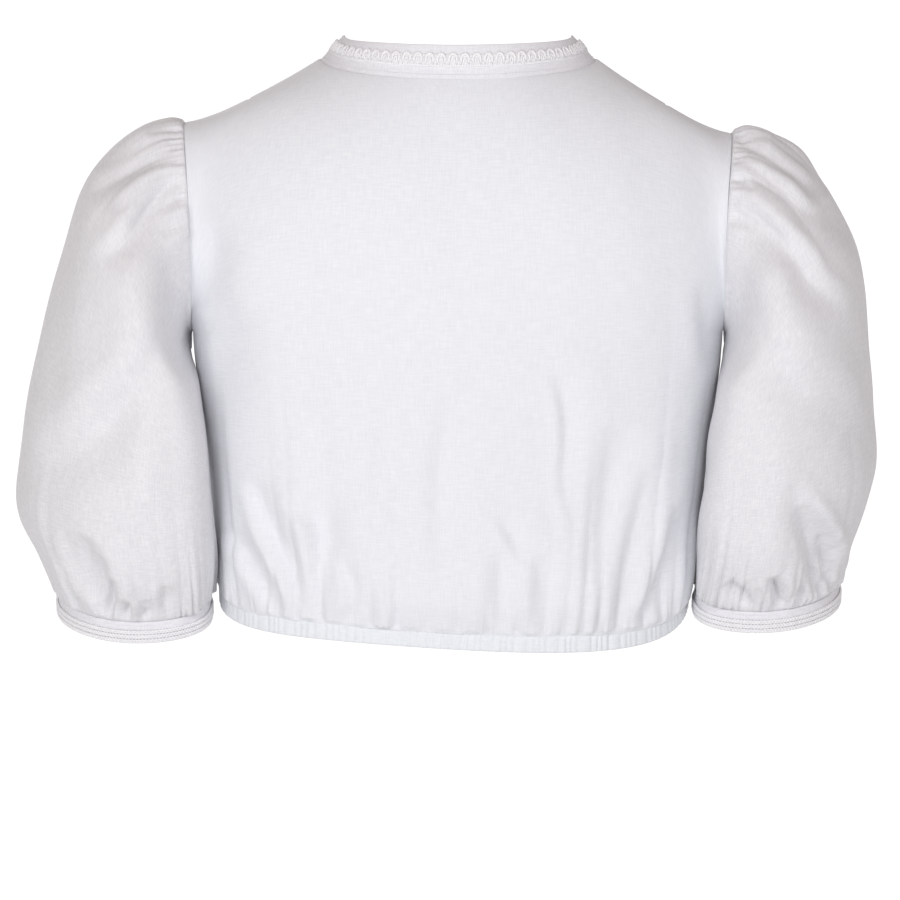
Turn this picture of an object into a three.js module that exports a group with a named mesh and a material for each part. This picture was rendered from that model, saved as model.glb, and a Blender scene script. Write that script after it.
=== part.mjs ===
// A dirndl blouse as it is worn, hollow: a short body with a deep V neck and shaped fronts, puff sleeves
// gathered into trimmed bands, a stand band with a braid round the neck, and a gathered elastic hem.
// Millimetres, +Z up. The front faces -Y and the wearer's left is +X. The origin is between the two neck
// points, where the shoulder seams meet the neck.
import * as THREE from "three";

// Cloth and seams
const CLOTH = 1.2;
const DOUBLE_CLOTH = 1.6; // neck band and cuffs are sewn double
const ELASTIC_HEM = 2.4; // turned hem with the elastic inside
const BRAID = 1.0;
const LABEL = 1.0;
const SEAM_GAP = 0.3;

// Widths of what is sewn on
const NECK_BAND_WIDTH = 21.5;
const NECK_BAND_LEAN = { back: 8, shoulder: 44, start: 0.7 }; // degrees off upright; begins at this up
const NECK_BRAID = { from: 0.36, to: 0.78 }; // shares of the band's width
const CUFF_WIDTH = 13.5;
const CUFF_BRAID = { from: 0.38, to: 1 };
const HEM_WIDTH = 10.5;
const HEM_RIBS = 96;
const HEM_RIB_HEIGHT = 0.7;

// Shoulders, neck and armholes
const NECK_HALF_WIDTH = 88;
const NECK_ACROSS = 0.45; // share of the half panel's columns that end at the neck
const BACK_NECK = { y: 60, z: -9 };
const FRONT_NECK = { y: -66, z: -26 };
const SHOULDER_TIP_X = 176;
const SHOULDER_BEND = 1.4; // the shoulder line is hollow towards the neck
const SIDE_Y = -4;
const UNDERARM_UP = 0.6;
const FULL_BACK = 0.35;
const SHOULDER_BLADE = 5;
const HEM_SWAY = 4.4; // the hem hangs a little lower on the right of the back and higher on the left
const HEM_DRIFT = 2.5; // and the whole hem has moved a little to the left
const CUP = { x: 86, spread: 42 };

const LEFT = { name: "left", sign: 1, tipZ: -41 };
const RIGHT = { name: "right", sign: -1, tipZ: -48 };
const SIDES = [LEFT, RIGHT];
const BACK = 1;
const FRONT = -1;

// Trunk sections from the hem (up 0) past the underarm: side seam, middle of back and front, depth of cups
const BODY_ROWS = [
  { up: 0.0, edgeX: 154, edgeZ: -343, backY: 92, backZ: -358, frontY: -91, frontZ: -336, bust: 0 },
  { up: 0.08, edgeX: 157, edgeZ: -323, backY: 100, backZ: -337, frontY: -98, frontZ: -318, bust: 5 },
  { up: 0.22, edgeX: 160, edgeZ: -290, backY: 101, backZ: -303, frontY: -103, frontZ: -285, bust: 14 },
  { up: 0.36, edgeX: 164, edgeZ: -250, backY: 98, backZ: -258, frontY: -102, frontZ: -240, bust: 26 },
  { up: 0.5, edgeX: 169.5, edgeZ: -208, backY: 95, backZ: -208, frontY: -94, frontZ: -195, bust: 22 },
  { up: 0.6, edgeX: 172, edgeZ: -176, backY: 93, backZ: -170, frontY: -86, frontZ: -164, bust: 13 },
  { up: 0.7, edgeX: 172, edgeZ: -140, backY: 91, backZ: -140, frontY: -74, frontZ: -130, bust: 5 },
];

// The neck seam and the princess seam of the front: distance from the centre at each height
const NECKLINE = [
  { up: 0.148, x: 0 },
  { up: 0.24, x: 29 },
  { up: 0.33, x: 48 },
  { up: 0.42, x: 66 },
  { up: 0.51, x: 82 },
  { up: 0.6, x: 91 },
  { up: 0.76, x: 93 },
  { up: 0.88, x: 90.5 },
  { up: 1.0, x: 88 },
];
const PRINCESS_SEAM = [
  { up: 0.0, x: 76 },
  { up: 0.22, x: 86 },
  { up: 0.42, x: 98 },
  { up: 0.6, x: 114 },
  { up: 0.82, x: 130 },
  { up: 1.0, x: 136 },
];

// Rows of the body panels: the V of the neck, the underarm and the armhole's stations each lie on one
const NECK_VERTEX_UP = NECKLINE[0].up;
const LOWER_UPS = [0, 0.074, NECK_VERTEX_UP, 0.24, 0.33, 0.42, 0.51, UNDERARM_UP];
const ARMHOLE_STEPS = 10;
const UPPER_UPS = Array.from({ length: ARMHOLE_STEPS }, (_, i) =>
  THREE.MathUtils.lerp(UNDERARM_UP, 1, (i + 1) / ARMHOLE_STEPS),
);
const BODY_UPS = [...LOWER_UPS, ...UPPER_UPS];
const BACK_COLUMNS = 40;
const SIDE_FRONT_COLUMNS = 10;
const CENTRE_FRONT_COLUMNS = 6; // on each side of the centre

// Sleeve rings from armhole (down 0) to cuff (down 1): the line over the top of the arm, the line under it,
// the depth to the back and to the front of the line between them, and how far the back hangs lower
const SLEEVE_RINGS = {
  left: [
    { down: 0.0, outX: 176, outZ: -41, inX: 172, inY: -4, inZ: -176, back: 50, front: 46, tilt: 0 },
    { down: 0.05, outX: 187, outZ: -39.5, inX: 173.2, inY: 1, inZ: -181, back: 56, front: 52, tilt: 0 },
    { down: 0.13, outX: 204.5, outZ: -44.5, inX: 172.8, inY: 12, inZ: -188, back: 61, front: 57, tilt: 0 },
    { down: 0.24, outX: 225, outZ: -60.5, inX: 170.8, inY: 31, inZ: -196, back: 66, front: 61, tilt: 0 },
    { down: 0.36, outX: 244, outZ: -87, inX: 167, inY: 44, inZ: -206, back: 69, front: 64, tilt: 0 },
    { down: 0.48, outX: 258.5, outZ: -132, inX: 164.6, inY: 47, inZ: -221, back: 71, front: 66, tilt: 0 },
    { down: 0.6, outX: 272, outZ: -184, inX: 161.6, inY: 47, inZ: -239, back: 71, front: 66, tilt: 1 },
    { down: 0.72, outX: 282.5, outZ: -236, inX: 158.8, inY: 46, inZ: -264, back: 70, front: 65, tilt: 3 },
    { down: 0.83, outX: 288, outZ: -288, inX: 157, inY: 44, inZ: -291, back: 66, front: 62, tilt: 5 },
    { down: 0.92, outX: 274, outZ: -320, inX: 157.2, inY: 34, inZ: -322, back: 60, front: 57, tilt: 8 },
    { down: 1.0, outX: 262, outZ: -347, inX: 161.5, inY: 16, inZ: -349, back: 51, front: 48, tilt: 10 },
  ],
  right: [
    { down: 0.0, outX: 176, outZ: -48, inX: 172, inY: -4, inZ: -176, back: 50, front: 46, tilt: 0 },
    { down: 0.05, outX: 187, outZ: -44, inX: 173.2, inY: 1, inZ: -181, back: 56, front: 52, tilt: 0 },
    { down: 0.13, outX: 201.5, outZ: -48, inX: 172.7, inY: 12, inZ: -188, back: 61, front: 57, tilt: 0 },
    { down: 0.24, outX: 224, outZ: -62, inX: 170.7, inY: 31, inZ: -196, back: 66, front: 61, tilt: 0 },
    { down: 0.36, outX: 243, outZ: -92, inX: 167, inY: 44, inZ: -206, back: 69, front: 64, tilt: 0 },
    { down: 0.48, outX: 259, outZ: -125, inX: 164, inY: 47, inZ: -221, back: 71, front: 66, tilt: 0 },
    { down: 0.6, outX: 266.5, outZ: -174, inX: 161, inY: 47, inZ: -239, back: 71, front: 66, tilt: 1 },
    { down: 0.72, outX: 270, outZ: -225, inX: 158.2, inY: 46, inZ: -262, back: 70, front: 65, tilt: 3 },
    { down: 0.83, outX: 272, outZ: -266, inX: 155.8, inY: 44, inZ: -288, back: 66, front: 62, tilt: 5 },
    { down: 0.92, outX: 260.5, outZ: -307, inX: 155, inY: 35, inZ: -316, back: 60, front: 57, tilt: 7 },
    { down: 1.0, outX: 250, outZ: -340.5, inX: 154.5, inY: 16, inZ: -345, back: 49, front: 46, tilt: 8.5 },
  ],
};
const SLEEVE_COLUMNS = 40;
const ARMHOLE_PINCH = { back: 4, front: 8, reach: 0.12 }; // the armhole curves in towards the chest
const FULL_INSIDE = { power: 0.68, start: 0.3 }; // behind, the puff lies full against the body's side

// Gathers: even small waves that die away from a seam
const HEM_GATHERS = { height: 1.1, reach: 0.14 };
const SLEEVE_HEAD_GATHERS = { height: 1.5, peak: 0.06, fade: 0.2, halfAngle: 1.75 };
const CUFF_GATHERS = { height: 1.9, peak: 0.07, fade: 0.2 };

// The largest folds: soft troughs along bowed lines, placed on the view of their face, x outwards on a sleeve
const BODY_FOLDS = [
  { face: BACK, fromX: 134, fromZ: -275, toX: 97, toZ: -368, bow: -4, width: 7, depth: 3.4 },
  { face: BACK, fromX: 147, fromZ: -300, toX: 118, toZ: -360, bow: -3, width: 6, depth: 2.4 },
  { face: BACK, fromX: 90, fromZ: -235, toX: 84, toZ: -352, bow: 0, width: 8, depth: 2.6 },
  { face: BACK, fromX: 62, fromZ: -205, toX: 64, toZ: -345, bow: 2, width: 8, depth: 2.2 },
  { face: BACK, fromX: 10, fromZ: -225, toX: 13, toZ: -368, bow: 3, width: 7, depth: 2.2 },
  { face: BACK, fromX: -30, fromZ: -270, toX: -28, toZ: -368, bow: 0, width: 8, depth: 2.0 },
  { face: BACK, fromX: -63, fromZ: -200, toX: -78, toZ: -310, bow: 5, width: 6, depth: 2.8 },
  { face: BACK, fromX: -97, fromZ: -235, toX: -92, toZ: -350, bow: 0, width: 10, depth: 3.2 },
  { face: BACK, fromX: -124, fromZ: -255, toX: -108, toZ: -366, bow: 3, width: 8, depth: 3.0 },
  { face: BACK, fromX: -142, fromZ: -285, toX: -124, toZ: -360, bow: 2, width: 6, depth: 2.2 },
  { face: BACK, fromX: 158, fromZ: -105, toX: 168, toZ: -165, bow: 3, width: 9, depth: 2.6 },
  { face: FRONT, fromX: 126, fromZ: -262, toX: 108, toZ: -338, bow: 3, width: 8, depth: 3.0 },
  { face: FRONT, fromX: 100, fromZ: -270, toX: 88, toZ: -338, bow: -2, width: 7, depth: 2.6 },
  { face: FRONT, fromX: 62, fromZ: -284, toX: 58, toZ: -336, bow: 2, width: 7, depth: 2.4 },
  { face: FRONT, fromX: -60, fromZ: -278, toX: -55, toZ: -336, bow: -2, width: 7, depth: 2.6 },
  { face: FRONT, fromX: -97, fromZ: -262, toX: -86, toZ: -338, bow: 3, width: 8, depth: 2.8 },
  { face: FRONT, fromX: -128, fromZ: -268, toX: -114, toZ: -338, bow: -3, width: 7, depth: 2.6 },
  { face: FRONT, fromX: 150, fromZ: -120, toX: 132, toZ: -190, bow: 4, width: 10, depth: 2.4 },
  { face: FRONT, fromX: -150, fromZ: -126, toX: -133, toZ: -186, bow: -4, width: 10, depth: 2.4 },
];
const SLEEVE_FOLDS = {
  left: [
    { face: BACK, fromX: 180, fromZ: -52, toX: 238, toZ: -100, bow: 6, width: 7, depth: 3.4 },
    { face: BACK, fromX: 180, fromZ: -68, toX: 232, toZ: -120, bow: 7, width: 8, depth: 3.6 },
    { face: BACK, fromX: 178, fromZ: -80, toX: 228, toZ: -132, bow: 9, width: 8, depth: 3.8 },
    { face: BACK, fromX: 176, fromZ: -135, toX: 258, toZ: -262, bow: 6, width: 14, depth: 4.6 },
    { face: BACK, fromX: 240, fromZ: -300, toX: 234, toZ: -352, bow: 0, width: 6, depth: 3.2 },
    { face: BACK, fromX: 222, fromZ: -318, toX: 226, toZ: -356, bow: 2, width: 5, depth: 3.0 },
    { face: FRONT, fromX: 182, fromZ: -56, toX: 236, toZ: -104, bow: 6, width: 8, depth: 3.4 },
    { face: FRONT, fromX: 180, fromZ: -84, toX: 226, toZ: -140, bow: 8, width: 9, depth: 3.6 },
    { face: FRONT, fromX: 182, fromZ: -130, toX: 250, toZ: -240, bow: 7, width: 14, depth: 4.2 },
    { face: FRONT, fromX: 244, fromZ: -286, toX: 232, toZ: -336, bow: 3, width: 8, depth: 3.2 },
    { face: FRONT, fromX: 198, fromZ: -290, toX: 204, toZ: -336, bow: 2, width: 8, depth: 3.0 },
  ],
  right: [
    { face: BACK, fromX: 179, fromZ: -54, toX: 238, toZ: -87, bow: 4, width: 7, depth: 3.8 },
    { face: BACK, fromX: 180, fromZ: -68, toX: 230, toZ: -101, bow: 4, width: 7, depth: 3.8 },
    { face: BACK, fromX: 178, fromZ: -95, toX: 250, toZ: -165, bow: 9, width: 9, depth: 4.4 },
    { face: BACK, fromX: 214, fromZ: -272, toX: 234, toZ: -340, bow: 3, width: 8, depth: 3.4 },
    { face: BACK, fromX: 224, fromZ: -286, toX: 244, toZ: -336, bow: 6, width: 6, depth: 4.0 },
    { face: BACK, fromX: 202, fromZ: -328, toX: 212, toZ: -354, bow: 1, width: 5, depth: 3.0 },
    { face: FRONT, fromX: 182, fromZ: -60, toX: 236, toZ: -98, bow: 5, width: 8, depth: 3.6 },
    { face: FRONT, fromX: 180, fromZ: -90, toX: 240, toZ: -152, bow: 9, width: 9, depth: 3.8 },
    { face: FRONT, fromX: 184, fromZ: -140, toX: 244, toZ: -236, bow: 6, width: 13, depth: 3.8 },
    { face: FRONT, fromX: 232, fromZ: -280, toX: 226, toZ: -330, bow: 3, width: 8, depth: 3.2 },
    { face: FRONT, fromX: 190, fromZ: -282, toX: 196, toZ: -332, bow: 2, width: 8, depth: 2.8 },
  ],
};

// Blank labels inside the back of the neck: their far edges from the centre and their lengths down
const LABELS = [
  { name: "neck_label", leftX: 23, rightX: -20, length: 34 },
  { name: "care_label", leftX: 48, rightX: 25, length: 28 },
];
const LABEL_COLUMNS = 4;
const LABEL_ROWS = 3;
const LABEL_TOP_UP = 0.985;
const LABEL_CLEARANCE = 0.9;

// Colours: bleached cotton, a little bluer at the hem
const WHITE_COTTON = 0xf1f1f4;
const BRAID_WHITE = 0xf6f6f7;
const HEM_WHITE = 0xeceff6;
const LABEL_GREY = 0xdfe2e8;

const FOLD_BACK = 0.5; // below this agreement of two normals the cloth folds back on itself
const MEETING_REACH = 1.6; // edges of two pieces this near each other are one seam
const MITRE_LIMIT = 1.6; // how far a strip may lengthen across a corner
const BRAID_ON_BAND = { thickness: BRAID, lift: BRAID + SEAM_GAP, trim: 0, color: BRAID_WHITE };

const { lerp, clamp } = THREE.MathUtils;

function smooth(share) {
  const t = clamp(share, 0, 1);
  return t * t * (3 - 2 * t);
}

function hermite(a, b, slopeA, slopeB, t) {
  const t2 = t * t;
  const t3 = t2 * t;
  return (2 * t3 - 3 * t2 + 1) * a + (t3 - 2 * t2 + t) * slopeA + (3 * t2 - 2 * t3) * b + (t3 - t2) * slopeB;
}

// One row read between the rows of a table, on a smooth curve through every column
function rowAt(table, key, at) {
  const last = table.length - 1;
  let i = 0;
  while (i < last - 1 && at > table[i + 1][key]) i += 1;
  const a = table[i];
  const b = table[i + 1];
  const before = table[Math.max(i - 1, 0)];
  const after = table[Math.min(i + 2, last)];
  const span = b[key] - a[key];
  const row = {};
  for (const name of Object.keys(a)) {
    const slopeA = ((b[name] - before[name]) / (b[key] - before[key])) * span;
    const slopeB = ((after[name] - a[name]) / (after[key] - a[key])) * span;
    row[name] = hermite(a[name], b[name], slopeA, slopeB, (at - a[key]) / span);
  }
  return row;
}

// How deep a soft trough is at a point of its face: a bowed line, a bell across it and soft ends along it
function foldDepth(fold, x, z) {
  const dx = fold.toX - fold.fromX;
  const dz = fold.toZ - fold.fromZ;
  const length = Math.hypot(dx, dz);
  const along = ((x - fold.fromX) * dx + (z - fold.fromZ) * dz) / (length * length);
  if (along <= 0 || along >= 1) return 0;
  const off = ((x - fold.fromX) * dz - (z - fold.fromZ) * dx) / length - fold.bow * 4 * along * (1 - along);
  return fold.depth * Math.exp(-((off / fold.width) ** 2)) * Math.sin(Math.PI * along) ** 0.6;
}

// Sleeve rings. Angle 0 is over the arm, +90 degrees at the back, 180 under the arm, -90 at the front.
function sleeveBase(side, angle, down) {
  const ring = rowAt(SLEEVE_RINGS[side.name], "down", down);
  const under = (1 - Math.cos(angle)) / 2;
  const swing = Math.sin(angle);
  const depth = swing > 0 ? ring.back : ring.front;
  const inside = smooth(2 * under - 1) * smooth(down / FULL_INSIDE.start);
  const bulge = swing > 0 ? swing ** lerp(1, FULL_INSIDE.power, inside) : swing;
  const nearArmhole = smooth(1 - down / ARMHOLE_PINCH.reach);
  const pinch = (swing > 0 ? ARMHOLE_PINCH.back : ARMHOLE_PINCH.front) * nearArmhole;
  return new THREE.Vector3(
    side.sign * (lerp(ring.outX, ring.inX, under) - pinch * swing * swing),
    ring.inY * under + depth * bulge,
    lerp(ring.outZ, ring.inZ, under) - ring.tilt * swing,
  );
}

// The armhole is the sleeve's first ring. over is 0 at the underarm and 1 at the shoulder tip.
function armholePoint(face, side, over) {
  return sleeveBase(side, face * Math.PI * (1 - over), 0);
}

// The top edge of a panel: round the neck, then along the shoulder seam
function topPoint(face, side, share) {
  const neck = face === BACK ? BACK_NECK : FRONT_NECK;
  if (share < NECK_ACROSS) {
    const turn = (share / NECK_ACROSS) * (Math.PI / 2);
    const x = side.sign * NECK_HALF_WIDTH * Math.sin(turn);
    return new THREE.Vector3(x, neck.y * Math.cos(turn), neck.z * Math.cos(turn));
  }
  const out = (share - NECK_ACROSS) / (1 - NECK_ACROSS);
  const x = side.sign * lerp(NECK_HALF_WIDTH, SHOULDER_TIP_X, out);
  return new THREE.Vector3(x, 0, side.tipZ * (1 - (1 - out) ** SHOULDER_BEND));
}

// The same edge without its corner at the neck point: the form that the cloth below it follows
function softTopPoint(face, side, share) {
  const neck = face === BACK ? BACK_NECK : FRONT_NECK;
  const reach = Math.PI / 3;
  return new THREE.Vector3(
    (side.sign * SHOULDER_TIP_X * Math.sin(share * reach)) / Math.sin(reach),
    neck.y * (1 - smooth(share / 0.8)),
    neck.z * (1 - share) ** 3 + side.tipZ * share ** 2.2,
  );
}

// Below the underarm: a round section from the middle line (share 0) to the side seam (share 1)
function trunkPoint(face, side, share, up) {
  const row = rowAt(BODY_ROWS, "up", up);
  const middleY = face === BACK ? row.backY : row.frontY;
  const middleZ = face === BACK ? row.backZ : row.frontZ;
  const toMiddle = Math.cos((share * Math.PI) / 2);
  const full = toMiddle + FULL_BACK * toMiddle * (1 - toMiddle);
  const nearHem = (1 - up) ** 4;
  const p = new THREE.Vector3(
    side.sign * row.edgeX * Math.sin((share * Math.PI) / 2) + HEM_DRIFT * nearHem,
    lerp(SIDE_Y, middleY, full),
    lerp(row.edgeZ, middleZ, lerp(toMiddle, 1 - (1 - toMiddle) ** 2.5, nearHem)),
  );
  if (face === FRONT) {
    const fromApex = (Math.abs(p.x) - CUP.x) / CUP.spread;
    p.y -= row.bust * Math.exp(-fromApex * fromApex) * smooth(toMiddle * 2);
  } else {
    p.z += HEM_SWAY * Math.sin(side.sign * Math.PI * share) * nearHem;
  }
  return p;
}

// Above the underarm: each line rises from the underarm's section and rolls over to the top edge, and the
// panel's edge keeps to the armhole. The middle of the back stays nearly upright up to the neck.
function shoulderPoint(face, side, share, up) {
  const over = (up - UNDERARM_UP) / (1 - UNDERARM_UP);
  const high = Math.sin((Math.PI / 2) * over);
  const low = Math.cos((Math.PI / 2) * over);
  const roll = face === BACK ? low : (1 - high) ** 0.75;
  const start = trunkPoint(face, side, share, UNDERARM_UP);
  const end = softTopPoint(face, side, share).lerp(topPoint(face, side, share), high ** 12);
  const p = new THREE.Vector3();
  p.x = lerp(end.x, start.x, low);
  p.y = lerp(end.y, start.y, roll);
  p.z = lerp(start.z, end.z, high);
  const upright = (face === BACK ? 1 - high ** 3 : 1 - high) - roll;
  p.y += (start.y - end.y) * upright * (1 - smooth(share / 0.9)) ** 2;
  if (face === BACK) p.y += SHOULDER_BLADE * Math.sin(Math.PI * share) * Math.sin(Math.PI * high);
  const edge = armholePoint(face, side, over);
  const from = armholePoint(face, side, 0);
  const to = armholePoint(face, side, 1);
  edge.x -= lerp(to.x, from.x, low);
  edge.y -= lerp(to.y, from.y, roll);
  edge.z -= lerp(from.z, to.z, high);
  return p.addScaledVector(edge, share ** 4);
}

// The body without its folds. across runs from -1 at the wearer's right to 1 at the left.
function bodyBase(face, across, up) {
  const side = across >= 0 ? LEFT : RIGHT;
  const pointAt = up <= UNDERARM_UP ? trunkPoint : shoulderPoint;
  return pointAt(face, side, Math.abs(across), up);
}

// The unit normal of a surface of two parameters, pointing to the side that the given sign picks
function normalOf(pointAt, u, v, sign) {
  const step = 1e-3;
  const du = pointAt(u + step, v).sub(pointAt(u - step, v));
  const dv = pointAt(u, Math.min(v + step, 1)).sub(pointAt(u, Math.max(v - step, 0)));
  return du.cross(dv).normalize().multiplyScalar(sign);
}

function bodyNormal(face, across, up) {
  const shyOfSides = clamp(across, -0.998, 0.998);
  return normalOf((u, v) => bodyBase(face, u, v), shyOfSides, up, -face);
}

// The body with its folds. ripple is 1, -1 or 0: which side of the cloth a hem gather lies on at this column.
function bodyPoint(face, across, up, ripple = 0) {
  const p = bodyBase(face, across, up);
  const fromEdges = smooth((1 - Math.abs(across)) * 10) * smooth((1 - up) * 10);
  const nearHem = Math.max(0, 1 - up / HEM_GATHERS.reach) ** 2;
  let rise = HEM_GATHERS.height * ripple * nearHem;
  for (const fold of BODY_FOLDS) {
    if (fold.face === face) rise -= fromEdges * foldDepth(fold, p.x, p.z);
  }
  return p.addScaledVector(bodyNormal(face, across, up), rise);
}

function rippleAt(column) {
  return column % 2 === 0 ? 1 : -1;
}

function sleevePoint(side, angle, down) {
  const p = sleeveBase(side, angle, down);
  if (down === 0) return p;
  const swing = Math.sin(angle);
  const wave = Math.cos((angle * SLEEVE_COLUMNS) / 2);
  const head = SLEEVE_HEAD_GATHERS;
  const onHead = smooth(1.4 * (1 - Math.abs(angle) / head.halfAngle));
  const nearHead = smooth(down / head.peak) * Math.exp(-((down / head.fade) ** 2));
  const fromCuff = 1 - down;
  const nearCuff = smooth(fromCuff / CUFF_GATHERS.peak) * Math.exp(-((fromCuff / CUFF_GATHERS.fade) ** 2));
  let rise = wave * (head.height * onHead * nearHead + CUFF_GATHERS.height * nearCuff);
  for (const fold of SLEEVE_FOLDS[side.name]) {
    const facing = smooth(2 * swing * fold.face);
    rise -= facing * foldDepth(fold, Math.abs(p.x), p.z) * smooth(down / head.peak);
  }
  const normal = normalOf((u, v) => sleeveBase(side, u, v), angle, down, -side.sign);
  return p.addScaledVector(normal, rise);
}

// How far across the panel the surface is at a given distance from the centre, by halving
function acrossFor(face, x, up) {
  let low = 0;
  let high = 1;
  for (let i = 0; i < 40; i += 1) {
    const middle = (low + high) / 2;
    if (bodyBase(face, middle, up).x < x) low = middle;
    else high = middle;
  }
  return (low + high) / 2;
}

// A grid of cloth points with its faces, as {points, faces}. flip turns the faces to the other side.
function gridSheet(pointAt, columns, rows, flip) {
  const points = [];
  const faces = [];
  for (let j = 0; j <= rows; j += 1) {
    for (let i = 0; i <= columns; i += 1) points.push(pointAt(i, j));
  }
  for (let j = 0; j < rows; j += 1) {
    for (let i = 0; i < columns; i += 1) {
      const a = j * (columns + 1) + i;
      const b = a + 1;
      const c = a + columns + 1;
      const d = c + 1;
      if (flip) faces.push([a, c, b], [b, c, d]);
      else faces.push([a, b, c], [b, d, c]);
    }
  }
  return { points, faces };
}

function joinSheets(...sheets) {
  const points = [];
  const faces = [];
  for (const sheet of sheets) {
    const first = points.length;
    points.push(...sheet.points);
    faces.push(...sheet.faces.map((face) => face.map((corner) => corner + first)));
  }
  return { points, faces };
}

// Corners in the same place become one, so that a seamless tube or a split panel has only its real edges
function weld(sheet) {
  const seen = new Map();
  const points = [];
  const index = sheet.points.map((p) => {
    const key = [p.x, p.y, p.z].map((value) => value.toFixed(3)).join(" ");
    if (!seen.has(key)) {
      seen.set(key, points.length);
      points.push(p.clone());
    }
    return seen.get(key);
  });
  const faces = sheet.faces.map((face) => face.map((corner) => index[corner]));
  return { points, faces: faces.filter(([a, b, c]) => a !== b && b !== c && c !== a) };
}

function faceNormals(sheet) {
  const normals = sheet.points.map(() => new THREE.Vector3());
  for (const [a, b, c] of sheet.faces) {
    const ab = sheet.points[b].clone().sub(sheet.points[a]);
    const ac = sheet.points[c].clone().sub(sheet.points[a]);
    const n = ab.cross(ac);
    normals[a].add(n);
    normals[b].add(n);
    normals[c].add(n);
  }
  return normals.map((n) => n.normalize());
}

function openEdges(sheet) {
  const edges = new Set();
  for (const [a, b, c] of sheet.faces) {
    for (const [from, to] of [[a, b], [b, c], [c, a]]) edges.add(`${from} ${to}`);
  }
  return [...edges]
    .map((edge) => edge.split(" ").map(Number))
    .filter(([from, to]) => !edges.has(`${to} ${from}`));
}

// The nearest place on a piece's open edge, with the cloth's normal there
function nearestOnEdge(piece, p) {
  const line = new THREE.Line3();
  const onLine = new THREE.Vector3();
  let best = null;
  for (const [from, to] of piece.edges) {
    line.set(piece.sheet.points[from], piece.sheet.points[to]);
    const share = line.closestPointToPointParameter(p, true);
    const distance = line.at(share, onLine).distanceTo(p);
    if (!best || distance < best.distance) {
      best = { distance, normal: piece.normals[from].clone().lerp(piece.normals[to], share) };
    }
  }
  return best;
}

// At an open edge that meets other pieces, the mean of all the normals there; null elsewhere
function sharedNormals(piece, pieces) {
  const shared = piece.sheet.points.map(() => null);
  for (const corner of new Set(piece.edges.flat())) {
    const sum = piece.normals[corner].clone();
    for (const other of pieces) {
      if (other === piece || other.lift) continue;
      const nearest = nearestOnEdge(other, piece.sheet.points[corner]);
      if (nearest.distance < MEETING_REACH) sum.add(nearest.normal);
    }
    shared[corner] = sum.normalize();
  }
  return shared;
}

// At a seam both walls turn along the shared normal, unless the cloth folds back on itself there
function wallDirections(piece, pieces) {
  const shared = piece.lift ? [] : sharedNormals(piece, pieces);
  return piece.normals.map((own, corner) => {
    if (!shared[corner]) return { along: own, sink: 0 };
    const agreement = shared[corner].dot(own);
    if (agreement < FOLD_BACK) return { along: own, sink: 1 };
    return { along: shared[corner], sink: 1 - agreement };
  });
}

// The cloth's edges draw back along the cloth, and inside it where two pieces meet at an angle
function trimmedPoints({ sheet, edges }, directions, amount) {
  const points = sheet.points.map((p) => p.clone());
  const pulls = new Map();
  for (const [from, to] of edges) {
    const run = sheet.points[to].clone().sub(sheet.points[from]).normalize();
    for (const corner of [from, to]) {
      const inward = directions[corner].along.clone().cross(run).normalize();
      pulls.set(corner, [...(pulls.get(corner) ?? []), inward]);
    }
  }
  for (const [corner, [arriving, leaving]] of pulls) {
    const { along, sink } = directions[corner];
    const mitre = 1 + Math.max(arriving.dot(leaving), 0);
    points[corner].addScaledVector(arriving.add(leaving), amount / mitre);
    points[corner].addScaledVector(along, -amount * sink);
  }
  return points;
}

// A closed wall of cloth: from lift above the sheet down by the thickness, with its rim. ribs raises the
// outer points alone, by a height for each point of the sheet.
function clothWall(piece, pieces) {
  const { thickness, lift = 0, trim = SEAM_GAP / 2, ribs = () => 0 } = piece;
  const directions = wallDirections(piece, pieces);
  const points = trimmedPoints(piece, directions, trim);
  const count = points.length;
  const moved = (p, i, distance) => p.clone().addScaledVector(directions[i].along, distance);
  const outer = points.map((p, i) => moved(p, i, lift + ribs(i)));
  const inner = points.map((p, i) => moved(p, i, lift - thickness));
  const triangles = [];
  for (const [a, b, c] of piece.sheet.faces) {
    triangles.push(a, b, c);
    triangles.push(a + count, c + count, b + count);
  }
  for (const [from, to] of piece.edges) {
    triangles.push(to, from, from + count);
    triangles.push(to, from + count, to + count);
  }
  const geometry = new THREE.BufferGeometry().setFromPoints([...outer, ...inner]);
  geometry.setIndex(triangles);
  geometry.computeVertexNormals();
  return geometry;
}

function clothMesh(piece, pieces) {
  const material = new THREE.MeshStandardMaterial({ color: piece.color, roughness: 0.85, metalness: 0 });
  const mesh = new THREE.Mesh(clothWall(piece, pieces), material);
  mesh.name = piece.name;
  return mesh;
}

function backSheet() {
  const pointAt = (i, j) => {
    const ripple = i === 0 || i === BACK_COLUMNS ? 0 : rippleAt(i);
    return bodyPoint(BACK, -1 + (2 * i) / BACK_COLUMNS, BODY_UPS[j], ripple);
  };
  return gridSheet(pointAt, BACK_COLUMNS, BODY_UPS.length - 1, true);
}

function princessAcross(up) {
  return acrossFor(FRONT, rowAt(PRINCESS_SEAM, "up", up).x, up);
}

function necklineAcross(up) {
  if (up <= NECK_VERTEX_UP) return 0;
  if (up === 1) return NECK_ACROSS;
  return acrossFor(FRONT, rowAt(NECKLINE, "up", up).x, up);
}

function sideFrontSheet(side) {
  const pointAt = (i, j) => {
    const across = lerp(princessAcross(BODY_UPS[j]), 1, i / SIDE_FRONT_COLUMNS);
    const ripple = i === SIDE_FRONT_COLUMNS ? 0 : rippleAt(i);
    return bodyPoint(FRONT, side.sign * across, BODY_UPS[j], ripple);
  };
  return gridSheet(pointAt, SIDE_FRONT_COLUMNS, BODY_UPS.length - 1, side === RIGHT);
}

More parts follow.
